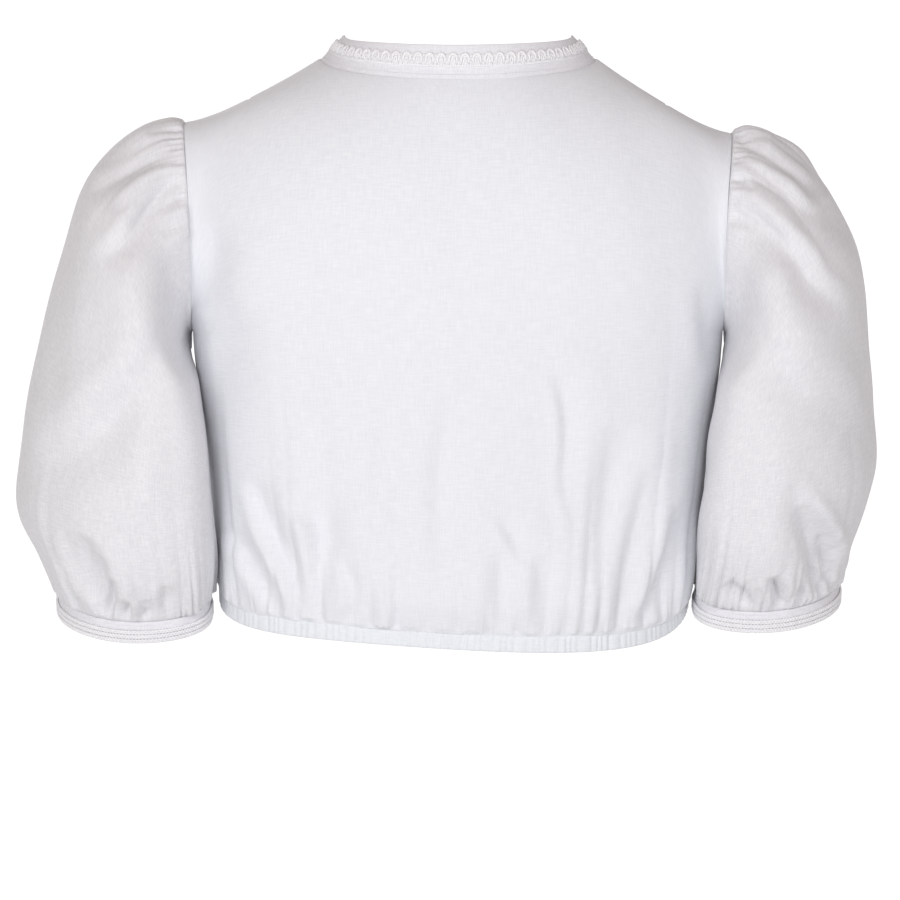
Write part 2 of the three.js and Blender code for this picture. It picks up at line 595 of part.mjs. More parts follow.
function centreFrontSheet(side) {
  const pointAt = (i, j) => {
    const up = BODY_UPS[j];
    const across = lerp(necklineAcross(up), princessAcross(up), i / CENTRE_FRONT_COLUMNS);
    return bodyPoint(FRONT, side.sign * across, up, rippleAt(i));
  };
  return gridSheet(pointAt, CENTRE_FRONT_COLUMNS, BODY_UPS.length - 1, side === RIGHT);
}

const SLEEVE_DOWNS = [0, 0.045, 0.1, 0.18, 0.28, 0.4, 0.52, 0.64, 0.76, 0.86, 0.94, 1];

function sleeveSheet(side) {
  const columnsPerStep = SLEEVE_COLUMNS / 2 / ARMHOLE_STEPS;
  const pointAt = (i, j) => {
    const angle = Math.PI * (1 - (2 * (i % SLEEVE_COLUMNS)) / SLEEVE_COLUMNS);
    const off = i % columnsPerStep;
    if (j > 0 || off === 0) return sleevePoint(side, angle, SLEEVE_DOWNS[j]);
    // The armhole's edge is straight between its stations, so the sleeve's first ring is too
    const step = (2 * Math.PI) / SLEEVE_COLUMNS;
    const before = sleevePoint(side, angle + off * step, 0);
    const after = sleevePoint(side, angle - (columnsPerStep - off) * step, 0);
    return before.lerp(after, off / columnsPerStep);
  };
  return gridSheet(pointAt, SLEEVE_COLUMNS, SLEEVE_DOWNS.length - 1, side === RIGHT);
}

// A strip sewn to a closed loop of stations, across it from one share of its width to the next.
// Each station has its place and outward normal. Seen from outside, the strip is on the left of the loop.
function stripSheet(stations, width, shares) {
  const rails = stations.map((station, i) => {
    const before = stations[(i + stations.length - 1) % stations.length].at;
    const after = stations[(i + 1) % stations.length].at;
    const arriving = station.at.clone().sub(before).normalize();
    const leaving = after.clone().sub(station.at).normalize();
    const halfTurn = Math.acos(clamp(arriving.dot(leaving), -1, 1)) / 2;
    const mitre = Math.min(1 / Math.cos(halfTurn), MITRE_LIMIT);
    const across = station.normal.clone().cross(arriving.add(leaving)).normalize();
    return { at: station.at, across: across.multiplyScalar(width * mitre) };
  });
  const pointAt = (i, j) => {
    const rail = rails[i % rails.length];
    return rail.at.clone().addScaledVector(rail.across, shares[j]);
  };
  return gridSheet(pointAt, rails.length, shares.length - 1, false);
}

// The band's outward direction where it stands up round the neck. turn is 0 at the centre back and 90 at the
// shoulder seam.
function standingNormal(side, turn) {
  const lean = lerp(NECK_BAND_LEAN.back, NECK_BAND_LEAN.shoulder, smooth(turn / 90));
  const tip = THREE.MathUtils.degToRad(lean);
  const round = THREE.MathUtils.degToRad(turn);
  return new THREE.Vector3(
    side.sign * Math.sin(round) * Math.cos(tip),
    Math.cos(round) * Math.cos(tip),
    Math.sin(tip),
  );
}

// The neck seam as a loop: up the V on the left, round the back of the neck, and down the right
function neckStations() {
  const front = (side, up) => {
    const across = side.sign * necklineAcross(up);
    const standing = smooth((up - NECK_BAND_LEAN.start) / (1 - NECK_BAND_LEAN.start));
    const normal = bodyNormal(FRONT, across, Math.min(up, 0.97)).lerp(standingNormal(side, 90), standing);
    return { at: bodyPoint(FRONT, across, up), normal: normal.normalize() };
  };
  const vUps = BODY_UPS.filter((up) => up > NECK_VERTEX_UP);
  const backSteps = NECK_ACROSS * BACK_COLUMNS;
  const back = Array.from({ length: backSteps - 1 }, (_, i) => {
    const across = NECK_ACROSS - ((i + 1) * 2) / BACK_COLUMNS;
    const side = across >= 0 ? LEFT : RIGHT;
    const turn = (90 * Math.abs(across)) / NECK_ACROSS;
    return { at: bodyPoint(BACK, across, 1), normal: standingNormal(side, turn) };
  });
  return [
    front(LEFT, NECK_VERTEX_UP),
    ...vUps.map((up) => front(LEFT, up)),
    ...back,
    ...vUps.map((up) => front(RIGHT, up)).reverse(),
  ];
}

// The lower edge of a sleeve, with level normals facing out of it
function cuffStations(side) {
  const edgeAt = (share) => sleeveBase(side, -side.sign * 2 * Math.PI * share, 1);
  const centre = edgeAt(0).add(edgeAt(0.5)).multiplyScalar(0.5);
  return Array.from({ length: SLEEVE_COLUMNS }, (_, i) => {
    const at = edgeAt(i / SLEEVE_COLUMNS);
    return { at, normal: new THREE.Vector3(at.x - centre.x, at.y - centre.y, 0).normalize() };
  });
}

// The lower edge of the body: the back from the wearer's right to left, then the front
function hemStations() {
  return Array.from({ length: 2 * HEM_RIBS }, (_, i) => {
    const round = i / HEM_RIBS;
    const at = round < 1 ? bodyBase(BACK, 2 * round - 1, 0) : bodyBase(FRONT, 3 - 2 * round, 0);
    return { at, normal: new THREE.Vector3(at.x, at.y, 0).normalize() };
  });
}

function labelSheet(label) {
  const topZ = bodyBase(BACK, 0, LABEL_TOP_UP).z;
  const upFor = (z) => {
    let up = LABEL_TOP_UP;
    while (bodyBase(BACK, 0, up).z > z) up -= 0.001;
    return up;
  };
  const ups = Array.from({ length: LABEL_ROWS + 1 }, (_, j) => upFor(topZ - (label.length * j) / LABEL_ROWS));
  const pointAt = (i, j) => {
    const x = lerp(label.rightX, label.leftX, i / LABEL_COLUMNS);
    const up = ups[j];
    return bodyPoint(BACK, Math.sign(x) * acrossFor(BACK, Math.abs(x), up), up);
  };
  return gridSheet(pointAt, LABEL_COLUMNS, LABEL_ROWS, false);
}

function bodyPieces() {
  const cut = { thickness: CLOTH, color: WHITE_COTTON };
  return [
    { name: "back", sheet: backSheet(), ...cut },
    { name: "front_centre", sheet: joinSheets(centreFrontSheet(LEFT), centreFrontSheet(RIGHT)), ...cut },
    { name: "front_side_left", sheet: sideFrontSheet(LEFT), ...cut },
    { name: "front_side_right", sheet: sideFrontSheet(RIGHT), ...cut },
  ];
}

function sleevePieces(side) {
  const edge = cuffStations(side);
  const cuff = stripSheet(edge, CUFF_WIDTH, [0, CUFF_BRAID.from, 1]);
  const braid = stripSheet(edge, CUFF_WIDTH, [CUFF_BRAID.from, CUFF_BRAID.to]);
  return [
    { name: `sleeve_${side.name}`, sheet: sleeveSheet(side), thickness: CLOTH, color: WHITE_COTTON },
    { name: `cuff_${side.name}`, sheet: cuff, thickness: DOUBLE_CLOTH, color: WHITE_COTTON },
    { name: `cuff_braid_${side.name}`, sheet: braid, ...BRAID_ON_BAND },
  ];
}

function neckPieces() {
  const seam = neckStations();
  const { from, to } = NECK_BRAID;
  const band = stripSheet(seam, NECK_BAND_WIDTH, [0, from, to, 1]);
  const braid = stripSheet(seam, NECK_BAND_WIDTH, [from, to]);
  return [
    { name: "neck_band", sheet: band, thickness: DOUBLE_CLOTH, color: WHITE_COTTON },
    { name: "neck_braid", sheet: braid, ...BRAID_ON_BAND },
  ];
}

function labelPieces() {
  return LABELS.map((label) => ({
    name: label.name,
    sheet: labelSheet(label),
    thickness: LABEL,
    lift: -CLOTH - LABEL_CLEARANCE,
    color: LABEL_GREY,
  }));
}

function hemPieces() {
  const casing = stripSheet(hemStations(), HEM_WIDTH, [0, 1]);
  const ribs = (corner) => (corner % 2 === 0 ? HEM_RIB_HEIGHT : 0);
  return [{ name: "hem_casing", sheet: casing, thickness: ELASTIC_HEM, ribs, color: HEM_WHITE }];
}

// All sheets are laid out before any wall is made, so that neighbours agree at their seams
const sewnOn = [...neckPieces(), ...labelPieces(), ...hemPieces()];
const pieces = [...bodyPieces(), ...SIDES.flatMap(sleevePieces), ...sewnOn];
for (const piece of pieces) {
  piece.sheet = weld(piece.sheet);
  piece.edges = openEdges(piece.sheet);
  piece.normals = faceNormals(piece.sheet);
}

const blouse = new THREE.Group();
for (const piece of pieces) blouse.add(clothMesh(piece, pieces));

export default blouse;
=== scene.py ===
# %% [markdown]
# # A dirndl blouse, hollow as if it were worn
# A short blouse of bleached cotton: a back, a shaped front with a deep V, two puff sleeves gathered into
# trimmed cuffs, a stand band with a loop braid round the neck, and a hem gathered by an elastic. Every
# piece is a thin sheet of cloth, so each one is a surface worked out from two numbers, with its folds
# added along the surface's own normal. The first cell loads the measured model that the pieces must fit.

# %% Load the frame
from math import pi
import bmesh
import bpy
import numpy as np
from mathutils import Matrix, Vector


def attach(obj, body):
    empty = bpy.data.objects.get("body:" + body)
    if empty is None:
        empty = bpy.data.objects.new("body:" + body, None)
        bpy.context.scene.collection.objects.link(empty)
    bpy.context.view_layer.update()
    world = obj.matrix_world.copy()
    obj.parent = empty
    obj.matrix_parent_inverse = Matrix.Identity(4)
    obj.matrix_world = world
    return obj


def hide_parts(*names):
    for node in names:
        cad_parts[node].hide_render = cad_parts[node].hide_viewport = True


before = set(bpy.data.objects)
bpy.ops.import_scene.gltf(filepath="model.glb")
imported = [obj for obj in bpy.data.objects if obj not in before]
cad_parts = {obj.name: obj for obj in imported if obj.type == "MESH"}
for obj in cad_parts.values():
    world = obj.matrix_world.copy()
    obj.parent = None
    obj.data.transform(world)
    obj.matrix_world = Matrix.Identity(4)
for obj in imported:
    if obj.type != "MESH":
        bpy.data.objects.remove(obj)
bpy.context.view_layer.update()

# %% [markdown]
# ## The sizes
# Lengths are in millimetres, as a maker would cut them, and turn to metres only when a mesh is made. The
# blouse faces -Y, its left sleeve is at +X, and the point between the two ends of the shoulder seams at
# the neck is the origin. The trunk is a table of sections from the hem to past the underarm, and each
# sleeve is a table of rings from the armhole to the cuff. Tables are the easiest form to correct: one
# number moves one place of the cloth.

# %% Sizes of the body and sleeves
BACK, FRONT = 1, -1
LEFT, RIGHT = 1, -1
SIDES = ((LEFT, "left"), (RIGHT, "right"))

UNDERARM_UP = 0.6
NECK_ACROSS = 0.45
NECK_HALF_WIDTH = 88.0
SHOULDER_TIP_X = 176.0
SHOULDER_TIP_Z = {LEFT: -41.0, RIGHT: -48.0}
NECK_MIDDLE = {BACK: (60.0, -9.0), FRONT: (-66.0, -26.0)}
SIDE_Y = -4.0
BUST_X, BUST_SPREAD = 86.0, 42.0
PANEL_LENGTH, HALF_HEM = 370.0, 235.0
SLEEVE_LENGTH = 330.0
HEAD_RADIUS, CUFF_RADIUS = 68.0, 62.0
BODY_FOLD, SLEEVE_FOLD = 1.6, 1.5  # times the depths in the tables of folds

BODY_ROWS = [
    # up, side x, side z, back y, back z, front y, front z, bust
    (0.00, 154, -343, 92, -358, -91, -336, 0),
    (0.08, 157, -323, 100, -337, -98, -318, 5),
    (0.22, 160, -290, 101, -303, -103, -285, 14),
    (0.36, 164, -250, 98, -258, -102, -240, 26),
    (0.50, 169.5, -208, 95, -208, -94, -195, 22),
    (0.60, 172, -176, 93, -170, -86, -164, 13),
    (0.70, 172, -140, 91, -140, -74, -130, 5),
]
SLEEVE_RINGS = {
    LEFT: [
        # down, over x, over z, under x, under y, under z, back, front, tilt
        (0.00, 176, -41, 172, -4, -176, 50, 46, 0),
        (0.05, 187, -39.5, 173.2, 1, -181, 56, 52, 0),
        (0.13, 204.5, -44.5, 172.8, 12, -188, 61, 57, 0),
        (0.24, 225, -60.5, 170.8, 31, -196, 66, 61, 0),
        (0.36, 244, -87, 167, 44, -206, 69, 64, 0),
        (0.48, 258.5, -132, 164.6, 47, -221, 71, 66, 0),
        (0.60, 272, -184, 161.6, 47, -239, 71, 66, 1),
        (0.72, 282.5, -236, 158.8, 46, -264, 70, 65, 3),
        (0.83, 288, -288, 157, 44, -291, 66, 62, 5),
        (0.92, 274, -320, 157.2, 34, -322, 60, 57, 8),
        (1.00, 262, -347, 161.5, 16, -349, 51, 48, 10),
    ],
    RIGHT: [
        (0.00, 176, -48, 172, -4, -176, 50, 46, 0),
        (0.05, 187, -44, 173.2, 1, -181, 56, 52, 0),
        (0.13, 201.5, -48, 172.7, 12, -188, 61, 57, 0),
        (0.24, 224, -62, 170.7, 31, -196, 66, 61, 0),
        (0.36, 243, -92, 167, 44, -206, 69, 64, 0),
        (0.48, 259, -125, 164, 47, -221, 71, 66, 0),
        (0.60, 266.5, -174, 161, 47, -239, 71, 66, 1),
        (0.72, 270, -225, 158.2, 46, -262, 70, 65, 3),
        (0.83, 272, -266, 155.8, 44, -288, 66, 62, 5),
        (0.92, 260.5, -307, 155, 35, -316, 60, 57, 7),
        (1.00, 250, -340.5, 154.5, 16, -345, 49, 46, 8.5),
    ],
}

# %% [markdown]
# ## Reading a table smoothly
# A section is needed at any height, not only at the rows. A cubic through the rows gives no kinks, which
# cloth wouldn't have either.

# %% Reading tables
def smooth(share):
    """A soft step: three times the square less twice the cube of a share kept between 0 and 1."""
    t = np.clip(share, 0.0, 1.0)
    return t * t * (3 - 2 * t)


def mix(a, b, share):
    """The way from a to b: a plus the share of their difference."""
    return a + (b - a) * share


def read_table(table, at):
    """Each column between its rows: a cubic whose slope at a row is that of the line through the rows
    before and after it."""
    rows, at = np.array(table, float), np.asarray(at, float)
    keys, last = rows[:, 0], len(rows) - 1
    i = np.searchsorted(keys[1:-1], at)
    before, after = np.maximum(i - 1, 0), np.minimum(i + 2, last)
    span = keys[i + 1] - keys[i]
    t = ((at - keys[i]) / span)[..., None]
    a, b = rows[i], rows[i + 1]
    slope_a = (b - rows[before]) * (span / (keys[i + 1] - keys[before]))[..., None]
    slope_b = (rows[after] - a) * (span / (keys[after] - keys[i]))[..., None]
    return ((2 * t**3 - 3 * t**2 + 1) * a + (t**3 - 2 * t**2 + t) * slope_a
            + (3 * t**2 - 2 * t**3) * b + (t**3 - t**2) * slope_b)


def point(x, y, z):
    """Three numbers, or three arrays of them, side by side as places."""
    return np.stack(np.broadcast_arrays(x, y, z), axis=-1)


def unit(v):
    """Vectors of length one."""
    return v / np.linalg.norm(v, axis=-1, keepdims=True)

# %% [markdown]
# ## The form of the blouse
# Each piece's surface is a formula of two numbers. A sleeve is rings round the arm. The trunk is round
# sections, and above the underarm each upright line rolls over to the neck or the shoulder seam, as
# cloth does that hangs from the shoulders. Folds come later, on top of these plain forms.

# %% The sleeve's rings
def sleeve_form(side, angle, down):
    """Rings round the arm: the cosine of the angle goes from the line over the arm to the line under it,
    and its sine out to the ring's depth. The ring bends in towards the chest at the armhole. Behind and
    inside, the sine is raised to a power under one, so that the puff lies full against the body."""
    ring = read_table(SLEEVE_RINGS[side], down)
    over_x, over_z, under_x, under_y, under_z, back, front, tilt = np.moveaxis(ring[..., 1:], -1, 0)
    under, swing = (1 - np.cos(angle)) / 2, np.sin(angle)
    near = smooth(1 - down / 0.12)
    inside = smooth(2 * under - 1) * smooth(down / 0.3)
    bulge = np.where(swing > 0, np.abs(swing) ** mix(1, 0.68, inside), swing)
    pinch = np.where(swing > 0, 4, 8) * near
    x = side * (mix(over_x, under_x, under) - pinch * swing**2)
    y = under_y * under + np.where(swing > 0, back, front) * bulge
    return point(x, y, mix(over_z, under_z, under) - tilt * swing)


def armhole(face, side, over):
    """The sleeve's first ring, read from the underarm (over 0) up to the shoulder tip (over 1)."""
    return sleeve_form(side, face * pi * (1 - over), np.zeros_like(over))


def top_edge(face, side, share):
    """A quarter ellipse round the neck, then the shoulder line, which is hollow towards the neck."""
    y, z = NECK_MIDDLE[face]
    turn = np.minimum(share / NECK_ACROSS, 1) * pi / 2
    out = np.maximum((share - NECK_ACROSS) / (1 - NECK_ACROSS), 0)
    neck = share < NECK_ACROSS
    x = np.where(neck, NECK_HALF_WIDTH * np.sin(turn), mix(NECK_HALF_WIDTH, SHOULDER_TIP_X, out))
    z = np.where(neck, z * np.cos(turn), SHOULDER_TIP_Z[side] * (1 - (1 - out) ** 1.4))
    return point(side * x, np.where(neck, y * np.cos(turn), 0), z)


def soft_top_edge(face, side, share):
    """The same edge with its corner at the neck point smoothed away."""
    y, z = NECK_MIDDLE[face]
    x = side * SHOULDER_TIP_X * np.sin(share * pi / 3) / np.sin(pi / 3)
    z = z * (1 - share) ** 3 + SHOULDER_TIP_Z[side] * share**2.2
    return point(x, y * (1 - smooth(share / 0.8)), z)

# %% The trunk and the shoulders
def trunk(face, side, share, up):
    """Below the underarm: a sine carries each section from the middle out to the side seam, and a cosine
    from the side's depth out to the middle's. A bell on each side of the front is the bust."""
    row = np.moveaxis(read_table(BODY_ROWS, up), -1, 0)
    _, side_x, side_z, back_y, back_z, front_y, front_z, bust = row
    middle_y, middle_z = (back_y, back_z) if face == BACK else (front_y, front_z)
    to_middle = np.cos(share * pi / 2)
    near_hem = (1 - up) ** 4
    x = side * side_x * np.sin(share * pi / 2) + 2.5 * near_hem
    y = mix(SIDE_Y, middle_y, to_middle + 0.35 * to_middle * (1 - to_middle))
    z = mix(side_z, middle_z, mix(to_middle, 1 - (1 - to_middle) ** 2.5, near_hem))
    if face == FRONT:
        y = y - bust * np.exp(-(((np.abs(x) - BUST_X) / BUST_SPREAD) ** 2)) * smooth(to_middle * 2)
    else:
        z = z + 4.4 * np.sin(side * pi * share) * near_hem
    return point(x, y, z)


def shoulder(face, side, share, up):
    """Above the underarm: a quarter turn carries each line up from the underarm's section and over to the
    top edge, and the panel's edge is pulled to the armhole."""
    over = (up - UNDERARM_UP) / (1 - UNDERARM_UP)
    high, low = np.sin(pi / 2 * over), np.cos(pi / 2 * over)
    roll = low if face == BACK else np.maximum(1 - high, 0) ** 0.75
    start = trunk(face, side, share, np.full_like(up, UNDERARM_UP))
    end = mix(soft_top_edge(face, side, share), top_edge(face, side, share), (high**12)[..., None])
    weights = point(1 - low, 1 - roll, high)
    upright = (1 - high**3 if face == BACK else 1 - high) - roll
    p = mix(start, end, weights)
    p[..., 1] += (start - end)[..., 1] * upright * (1 - smooth(share / 0.9)) ** 2
    if face == BACK:
        p[..., 1] += 5 * np.sin(pi * share) * np.sin(pi * high)
    zero = np.zeros_like(over)
    level = mix(armhole(face, side, zero), armhole(face, side, zero + 1), weights)
    return p + (armhole(face, side, over) - level) * (share**4)[..., None]


def half_body(face, side, share, up):
    """One half of the back or front: the trunk's formula up to the underarm and the shoulder's above."""
    share, up = np.broadcast_arrays(np.asarray(share, float), np.asarray(up, float))
    lower = trunk(face, side, share, np.minimum(up, UNDERARM_UP))
    upper = shoulder(face, side, share, np.maximum(up, UNDERARM_UP))
    return np.where((up <= UNDERARM_UP)[..., None], lower, upper)


def body_form(face, across, up):
    """Back or front without folds, from the wearer's right side (across -1) to the left (across 1)."""
    across, up = np.broadcast_arrays(np.asarray(across, float), np.asarray(up, float))
    share = np.abs(across)
    left = (across >= 0)[..., None]
    return np.where(left, *(half_body(face, side, share, up) for side in (LEFT, RIGHT)))


def form_normal(form, a, b):
    """The unit normal of a form: the cross product of two small steps along its two numbers."""
    step = 1e-3
    return unit(np.cross(form(a + step, b) - form(a - step, b), form(a, b + step) - form(a, b - step)))


def body_normal(face, across, up):
    """Outwards from the back or front, kept off the ends of its own formula."""
    across, up = np.clip(across, -0.997, 0.997), np.clip(up, 0.001, 0.996)
    return -face * form_normal(lambda a, b: body_form(face, a, b), across, up)


def sleeve_normal(side, angle, down):
    """The same for a sleeve."""
    return -side * form_normal(lambda a, b: sleeve_form(side, a, b), angle, np.clip(down, 0.002, 0.998))


print("back, middle of the neck:", body_form(BACK, 0.0, 1.0).round(1))

# %% [markdown]
# ## Folds
# Pressed cotton shows few sharp creases and many soft ones. Two kinds are added here. Drawn folds are
# troughs along listed lines, each with a steep and a gentle side, because a fold leans the way the
# cloth is pulled. Gathers are waves that start at a seam and die away, uneven in their spacing and
# length, as a drawn-up thread makes them.

# %% Troughs along drawn lines
def drawn_line(corners, steps=24):
    """A smooth line through given corners: cubics between them, read at even steps."""
    table = np.column_stack([np.linspace(0, 1, len(corners)), corners])
    return read_table(table, np.linspace(0, 1, steps + 1))[:, 1:]


def troughs(x, z, folds):
    """How deep the cloth sinks at each point. For each fold: the distance to its line, a bell across the
    line that is wider on its gentle side, low lips beside it, and soft ends."""
    spot, depth = np.stack([x, z], -1), np.zeros(np.shape(x))
    for width, gentle, deepest, *corners in folds:
        line = drawn_line(np.reshape(corners, (-1, 2)))
        nearest = np.full(np.shape(x), 1e9)
        off, along = np.zeros(np.shape(x)), np.zeros(np.shape(x))
        for k in range(len(line) - 1):
            run = line[k + 1] - line[k]
            length = np.hypot(*run)
            gap = spot - line[k]
            share = np.clip((gap @ run) / length**2, 0, 1)
            distance = np.linalg.norm(gap - share[..., None] * run, axis=-1)
            side = np.sign(gap[..., 0] * run[1] - gap[..., 1] * run[0])
            closer = distance < nearest
            nearest = np.where(closer, distance, nearest)
            off = np.where(closer, side * distance, off)
            along = np.where(closer, (k + share) / (len(line) - 1), along)
        spread = np.where(off > 0, width * gentle, width)
        ends = np.sin(pi * np.clip(along, 0.0, 1.0)) ** 0.7
        lips = 0.3 * np.exp(-(((np.abs(off) - 2.1 * spread) / spread) ** 2))
        depth += deepest * ends * (np.exp(-((off / spread) ** 2)) - lips)
    return depth

# %% Gathers and the cloth's unevenness
def wander(t, seed):
    """A slow uneven wave between about -1 and 1: five sines of unrelated lengths and seeded phases."""
    dice = np.random.default_rng(seed)
    lengths, phases = dice.uniform(0.35, 1.9, 5), dice.uniform(0, 2 * pi, 5)
    return sum(np.sin(t * k + phase) for k, phase in zip(lengths, phases)) / 2.6


def gathers(along, away, pitch, height, reach, seed):
    """Waves along a seam: rounded ridges with narrow valleys. The phase wanders, so that the spacing is
    uneven, and each wave has its own height and its own length away from the seam."""
    turn = along / pitch + 0.42 * wander(along / pitch * 0.9, seed)
    wave = 1 - 2 * np.abs(np.sin(pi * turn)) ** 0.75
    own_height = height * (0.7 + 0.5 * wander(along / pitch * 1.3, seed + 1))
    own_reach = np.maximum(reach * (0.95 + 0.6 * wander(along / pitch * 1.1, seed + 2)), 0.25 * reach)
    return -wave * own_height * np.exp(-((np.maximum(away, 0) / own_reach) ** 1.3))


def unevenness(p, height, seed):
    """What a pressed cloth keeps of its handling: eight plane waves, 35 to 110 mm long, in seeded
    directions."""
    dice = np.random.default_rng(seed)
    rise = np.zeros(p.shape[:-1])
    for _ in range(8):
        direction = dice.normal(size=3)
        direction /= np.linalg.norm(direction)
        rise += np.sin(p @ direction * 2 * pi / dice.uniform(35, 110) + dice.uniform(0, 2 * pi))
    return rise * height / 2.8


def seam_dip(away, depth=0.7, width=1.6):
    """Cloth turns in where it is sewn to the next piece: a narrow bell at the edge."""
    return depth * np.exp(-((away / width) ** 2))

# %% [markdown]
# ## From a grid of points to a piece of cloth
# A woven panel has two directions, so its mesh is a grid: one direction round the body, one down it. The
# panel's own UV map holds millimetres along those two directions, and the weave follows it through every
# fold. Solidify then gives the sheet the thickness of the cloth, inwards, so that the outer face stays
# where it was measured.

# %% Meshes
MM = 0.001
CLOTH_THICKNESS = 0.6
made = {}


def grid_faces(rows, columns, round_u=False, round_v=False, flip=False):
    """Four corners for every cell of a grid. A round direction joins its last line to its first."""
    i = np.arange(columns if round_u else columns - 1)
    j = np.arange(rows if round_v else rows - 1)[:, None]
    row, next_row, next_i = j * columns, (j + 1) % rows * columns, (i + 1) % columns
    quads = np.stack([row + i, row + next_i, next_row + next_i, next_row + i], -1).reshape(-1, 4)
    return quads[:, ::-1] if flip else quads


def grid_weave(p, round_u=False):
    """Millimetres along the cloth: the mean length round the rows, and the mean length down the columns.
    Also for each face corner, so that a round sheet has its seam in the map and no stretched cells."""
    ring = np.concatenate([p, p[:, :1]], 1) if round_u else p
    across = np.linalg.norm(np.diff(ring, axis=1), axis=-1).mean(0)
    down = np.linalg.norm(np.diff(p, axis=0), axis=-1).mean(1)
    u, v = np.append(0, np.cumsum(across)), np.append(0, np.cumsum(down))
    cells_u, cells_v = np.meshgrid(np.arange(ring.shape[1] - 1), np.arange(p.shape[0] - 1))
    corners_u = np.stack([cells_u, cells_u + 1, cells_u + 1, cells_u], -1)
    corners_v = np.stack([cells_v, cells_v, cells_v + 1, cells_v + 1], -1)
    return np.stack([u[corners_u], v[corners_v]], -1).reshape(-1, 4, 2)


def mesh_piece(name, points, quads, weave=None, thickness=None):
    """A smooth object in metres at the origin, with its UV map in metres, from millimetre points."""
    mesh = bpy.data.meshes.new(name)
    mesh.from_pydata((points.reshape(-1, 3) * MM).tolist(), [], quads.tolist())
    if weave is not None:
        mesh.uv_layers.new(name="weave").data.foreach_set("uv", (weave.reshape(-1, 2) * MM).ravel())
    piece = bpy.data.objects.new(name, mesh)
    bpy.context.scene.collection.objects.link(piece)
    sewn = bmesh.new()
    sewn.from_mesh(mesh)
    bmesh.ops.remove_doubles(sewn, verts=sewn.verts, dist=2e-6)
    bmesh.ops.dissolve_degenerate(sewn, edges=sewn.edges, dist=1e-7)
    sewn.to_mesh(mesh)
    sewn.free()
    mesh.validate()
    mesh.shade_smooth()
    if thickness:
        wall = piece.modifiers.new("thickness of the cloth", "SOLIDIFY")
        wall.thickness, wall.offset, wall.use_even_offset = thickness * MM, -1, False
    made[name] = piece
    return piece


def cloth_grid(name, p, flip=False, round_u=False, thickness=CLOTH_THICKNESS):
    """One panel of cloth from a grid of points."""
    quads = grid_faces(*p.shape[:2], round_u=round_u, flip=flip)
    weave = grid_weave(p, round_u)
    return mesh_piece(name, p, quads, weave[:, ::-1] if flip else weave, thickness)


def flat_area(piece):
    """The area of a piece's faces in square metres."""
    return sum(face.area for face in piece.data.polygons)

# %% [markdown]
# ## The back
# The back is cut in one. It hangs from the shoulders and is drawn in at the hem by the elastic, which
# gives long soft folds that fade a hand's width above the hem, and short fine gathers just over it. The
# drawn folds are laid where the real cloth shows them, as places on the panel seen from behind.

# %% The back
BACK_FOLDS = [
    # width of the steep side, how many times wider the gentle side, depth, then x and z of each corner
    (4.5, 2.2, 4.2, 131, -262, 120, -295, 106, -322, 93, -356),
    (4.5, 1.8, 3.2, 145, -298, 130, -322, 114, -350),
    (4, 2.4, 2.8, 105, -275, 92, -287, 89, -311, 89, -346),
    (9, 1.4, 2.4, 85, -215, 83, -279, 84, -340),
    (9, 1.5, 1.8, 60, -185, 59, -227, 61, -275),
    (4, 2.2, 2.2, 73, -308, 66, -330, 67, -352),
    (5, 1.6, 1.8, 50, -290, 49, -325, 50, -354),
    (5, 1.6, 1.8, 30, -298, 31, -325, 30, -356),
    (7, 1.8, 2.2, 3, -200, 8, -233, 11, -262, 10, -302, 12, -356),
    (3.6, 3, 1.9, -60, -188, -65, -202, -68, -216, -69, -235, -68, -263, -76, -298),
    (3.4, 2.2, 1.5, -26, -280, -35, -296, -43, -312),
    (5.5, 1.6, 2, -28, -300, -27, -328, -29, -358),
    (5.5, 1.8, 2, -52, -300, -53, -330, -50, -358),
    (10, 1.4, 3, -101, -222, -95, -273, -89, -330),
    (6, 1.8, 3, -123, -250, -113, -303, -103, -356),
    (4.5, 1.8, 2.6, -133, -312, -127, -338, -115, -358),
    (5, 1.8, 2.4, -143, -280, -136, -310, -124, -350),
    (7, 1.8, 2.4, 153, -98, 158, -128, 167, -160),
    (11, 1.5, 1.8, 140, -150, 150, -190, 152, -240),
    (6, 1.6, 1.8, -155, -138, -160, -170, -163, -196),
]


def body_cloth(face, across, up, folds, seed):
    """The panel's form, moved along its normal by drawn folds, two orders of gathers at the hem, the
    cloth's unevenness, and the dips of the seams at its ends."""
    p, n = body_form(face, across, up), body_normal(face, across, up)
    x, z = p[..., 0], p[..., 2]
    from_side, from_hem = 1 - np.abs(across), up * PANEL_LENGTH
    keep = smooth(from_side * 9) * smooth((1 - up) * 8)
    round_hem = across * HALF_HEM + (0 if face == BACK else 700)
    rise = -BODY_FOLD * troughs(x, z, folds) * keep
    sewn = (0.4 + 0.6 * smooth(from_side * 7)) * smooth(from_hem / 6)
    rise += sewn * gathers(round_hem, from_hem, 17.0, 2.4, 66.0, seed)
    rise += sewn * gathers(round_hem, from_hem, 5.2, 1.5, 12.0, seed + 10)
    rise += unevenness(p, 0.5, seed + 20) * keep
    return p, n, rise


def lifted(p, n, rise):
    """Points moved along their normals."""
    return p + n * rise[..., None]


def shoulder_dip(up):
    """The dip along the shoulder and neck seams."""
    return seam_dip((1 - up) * 400, 0.4, 2.0)


def rows_of(lower, upper):
    """Rows up a panel: closer together near the hem, for the fine gathers."""
    t = np.linspace(0, 1, lower)
    return np.concatenate([0.16 * t**1.15, np.linspace(0.16, 1, upper)[1:]])


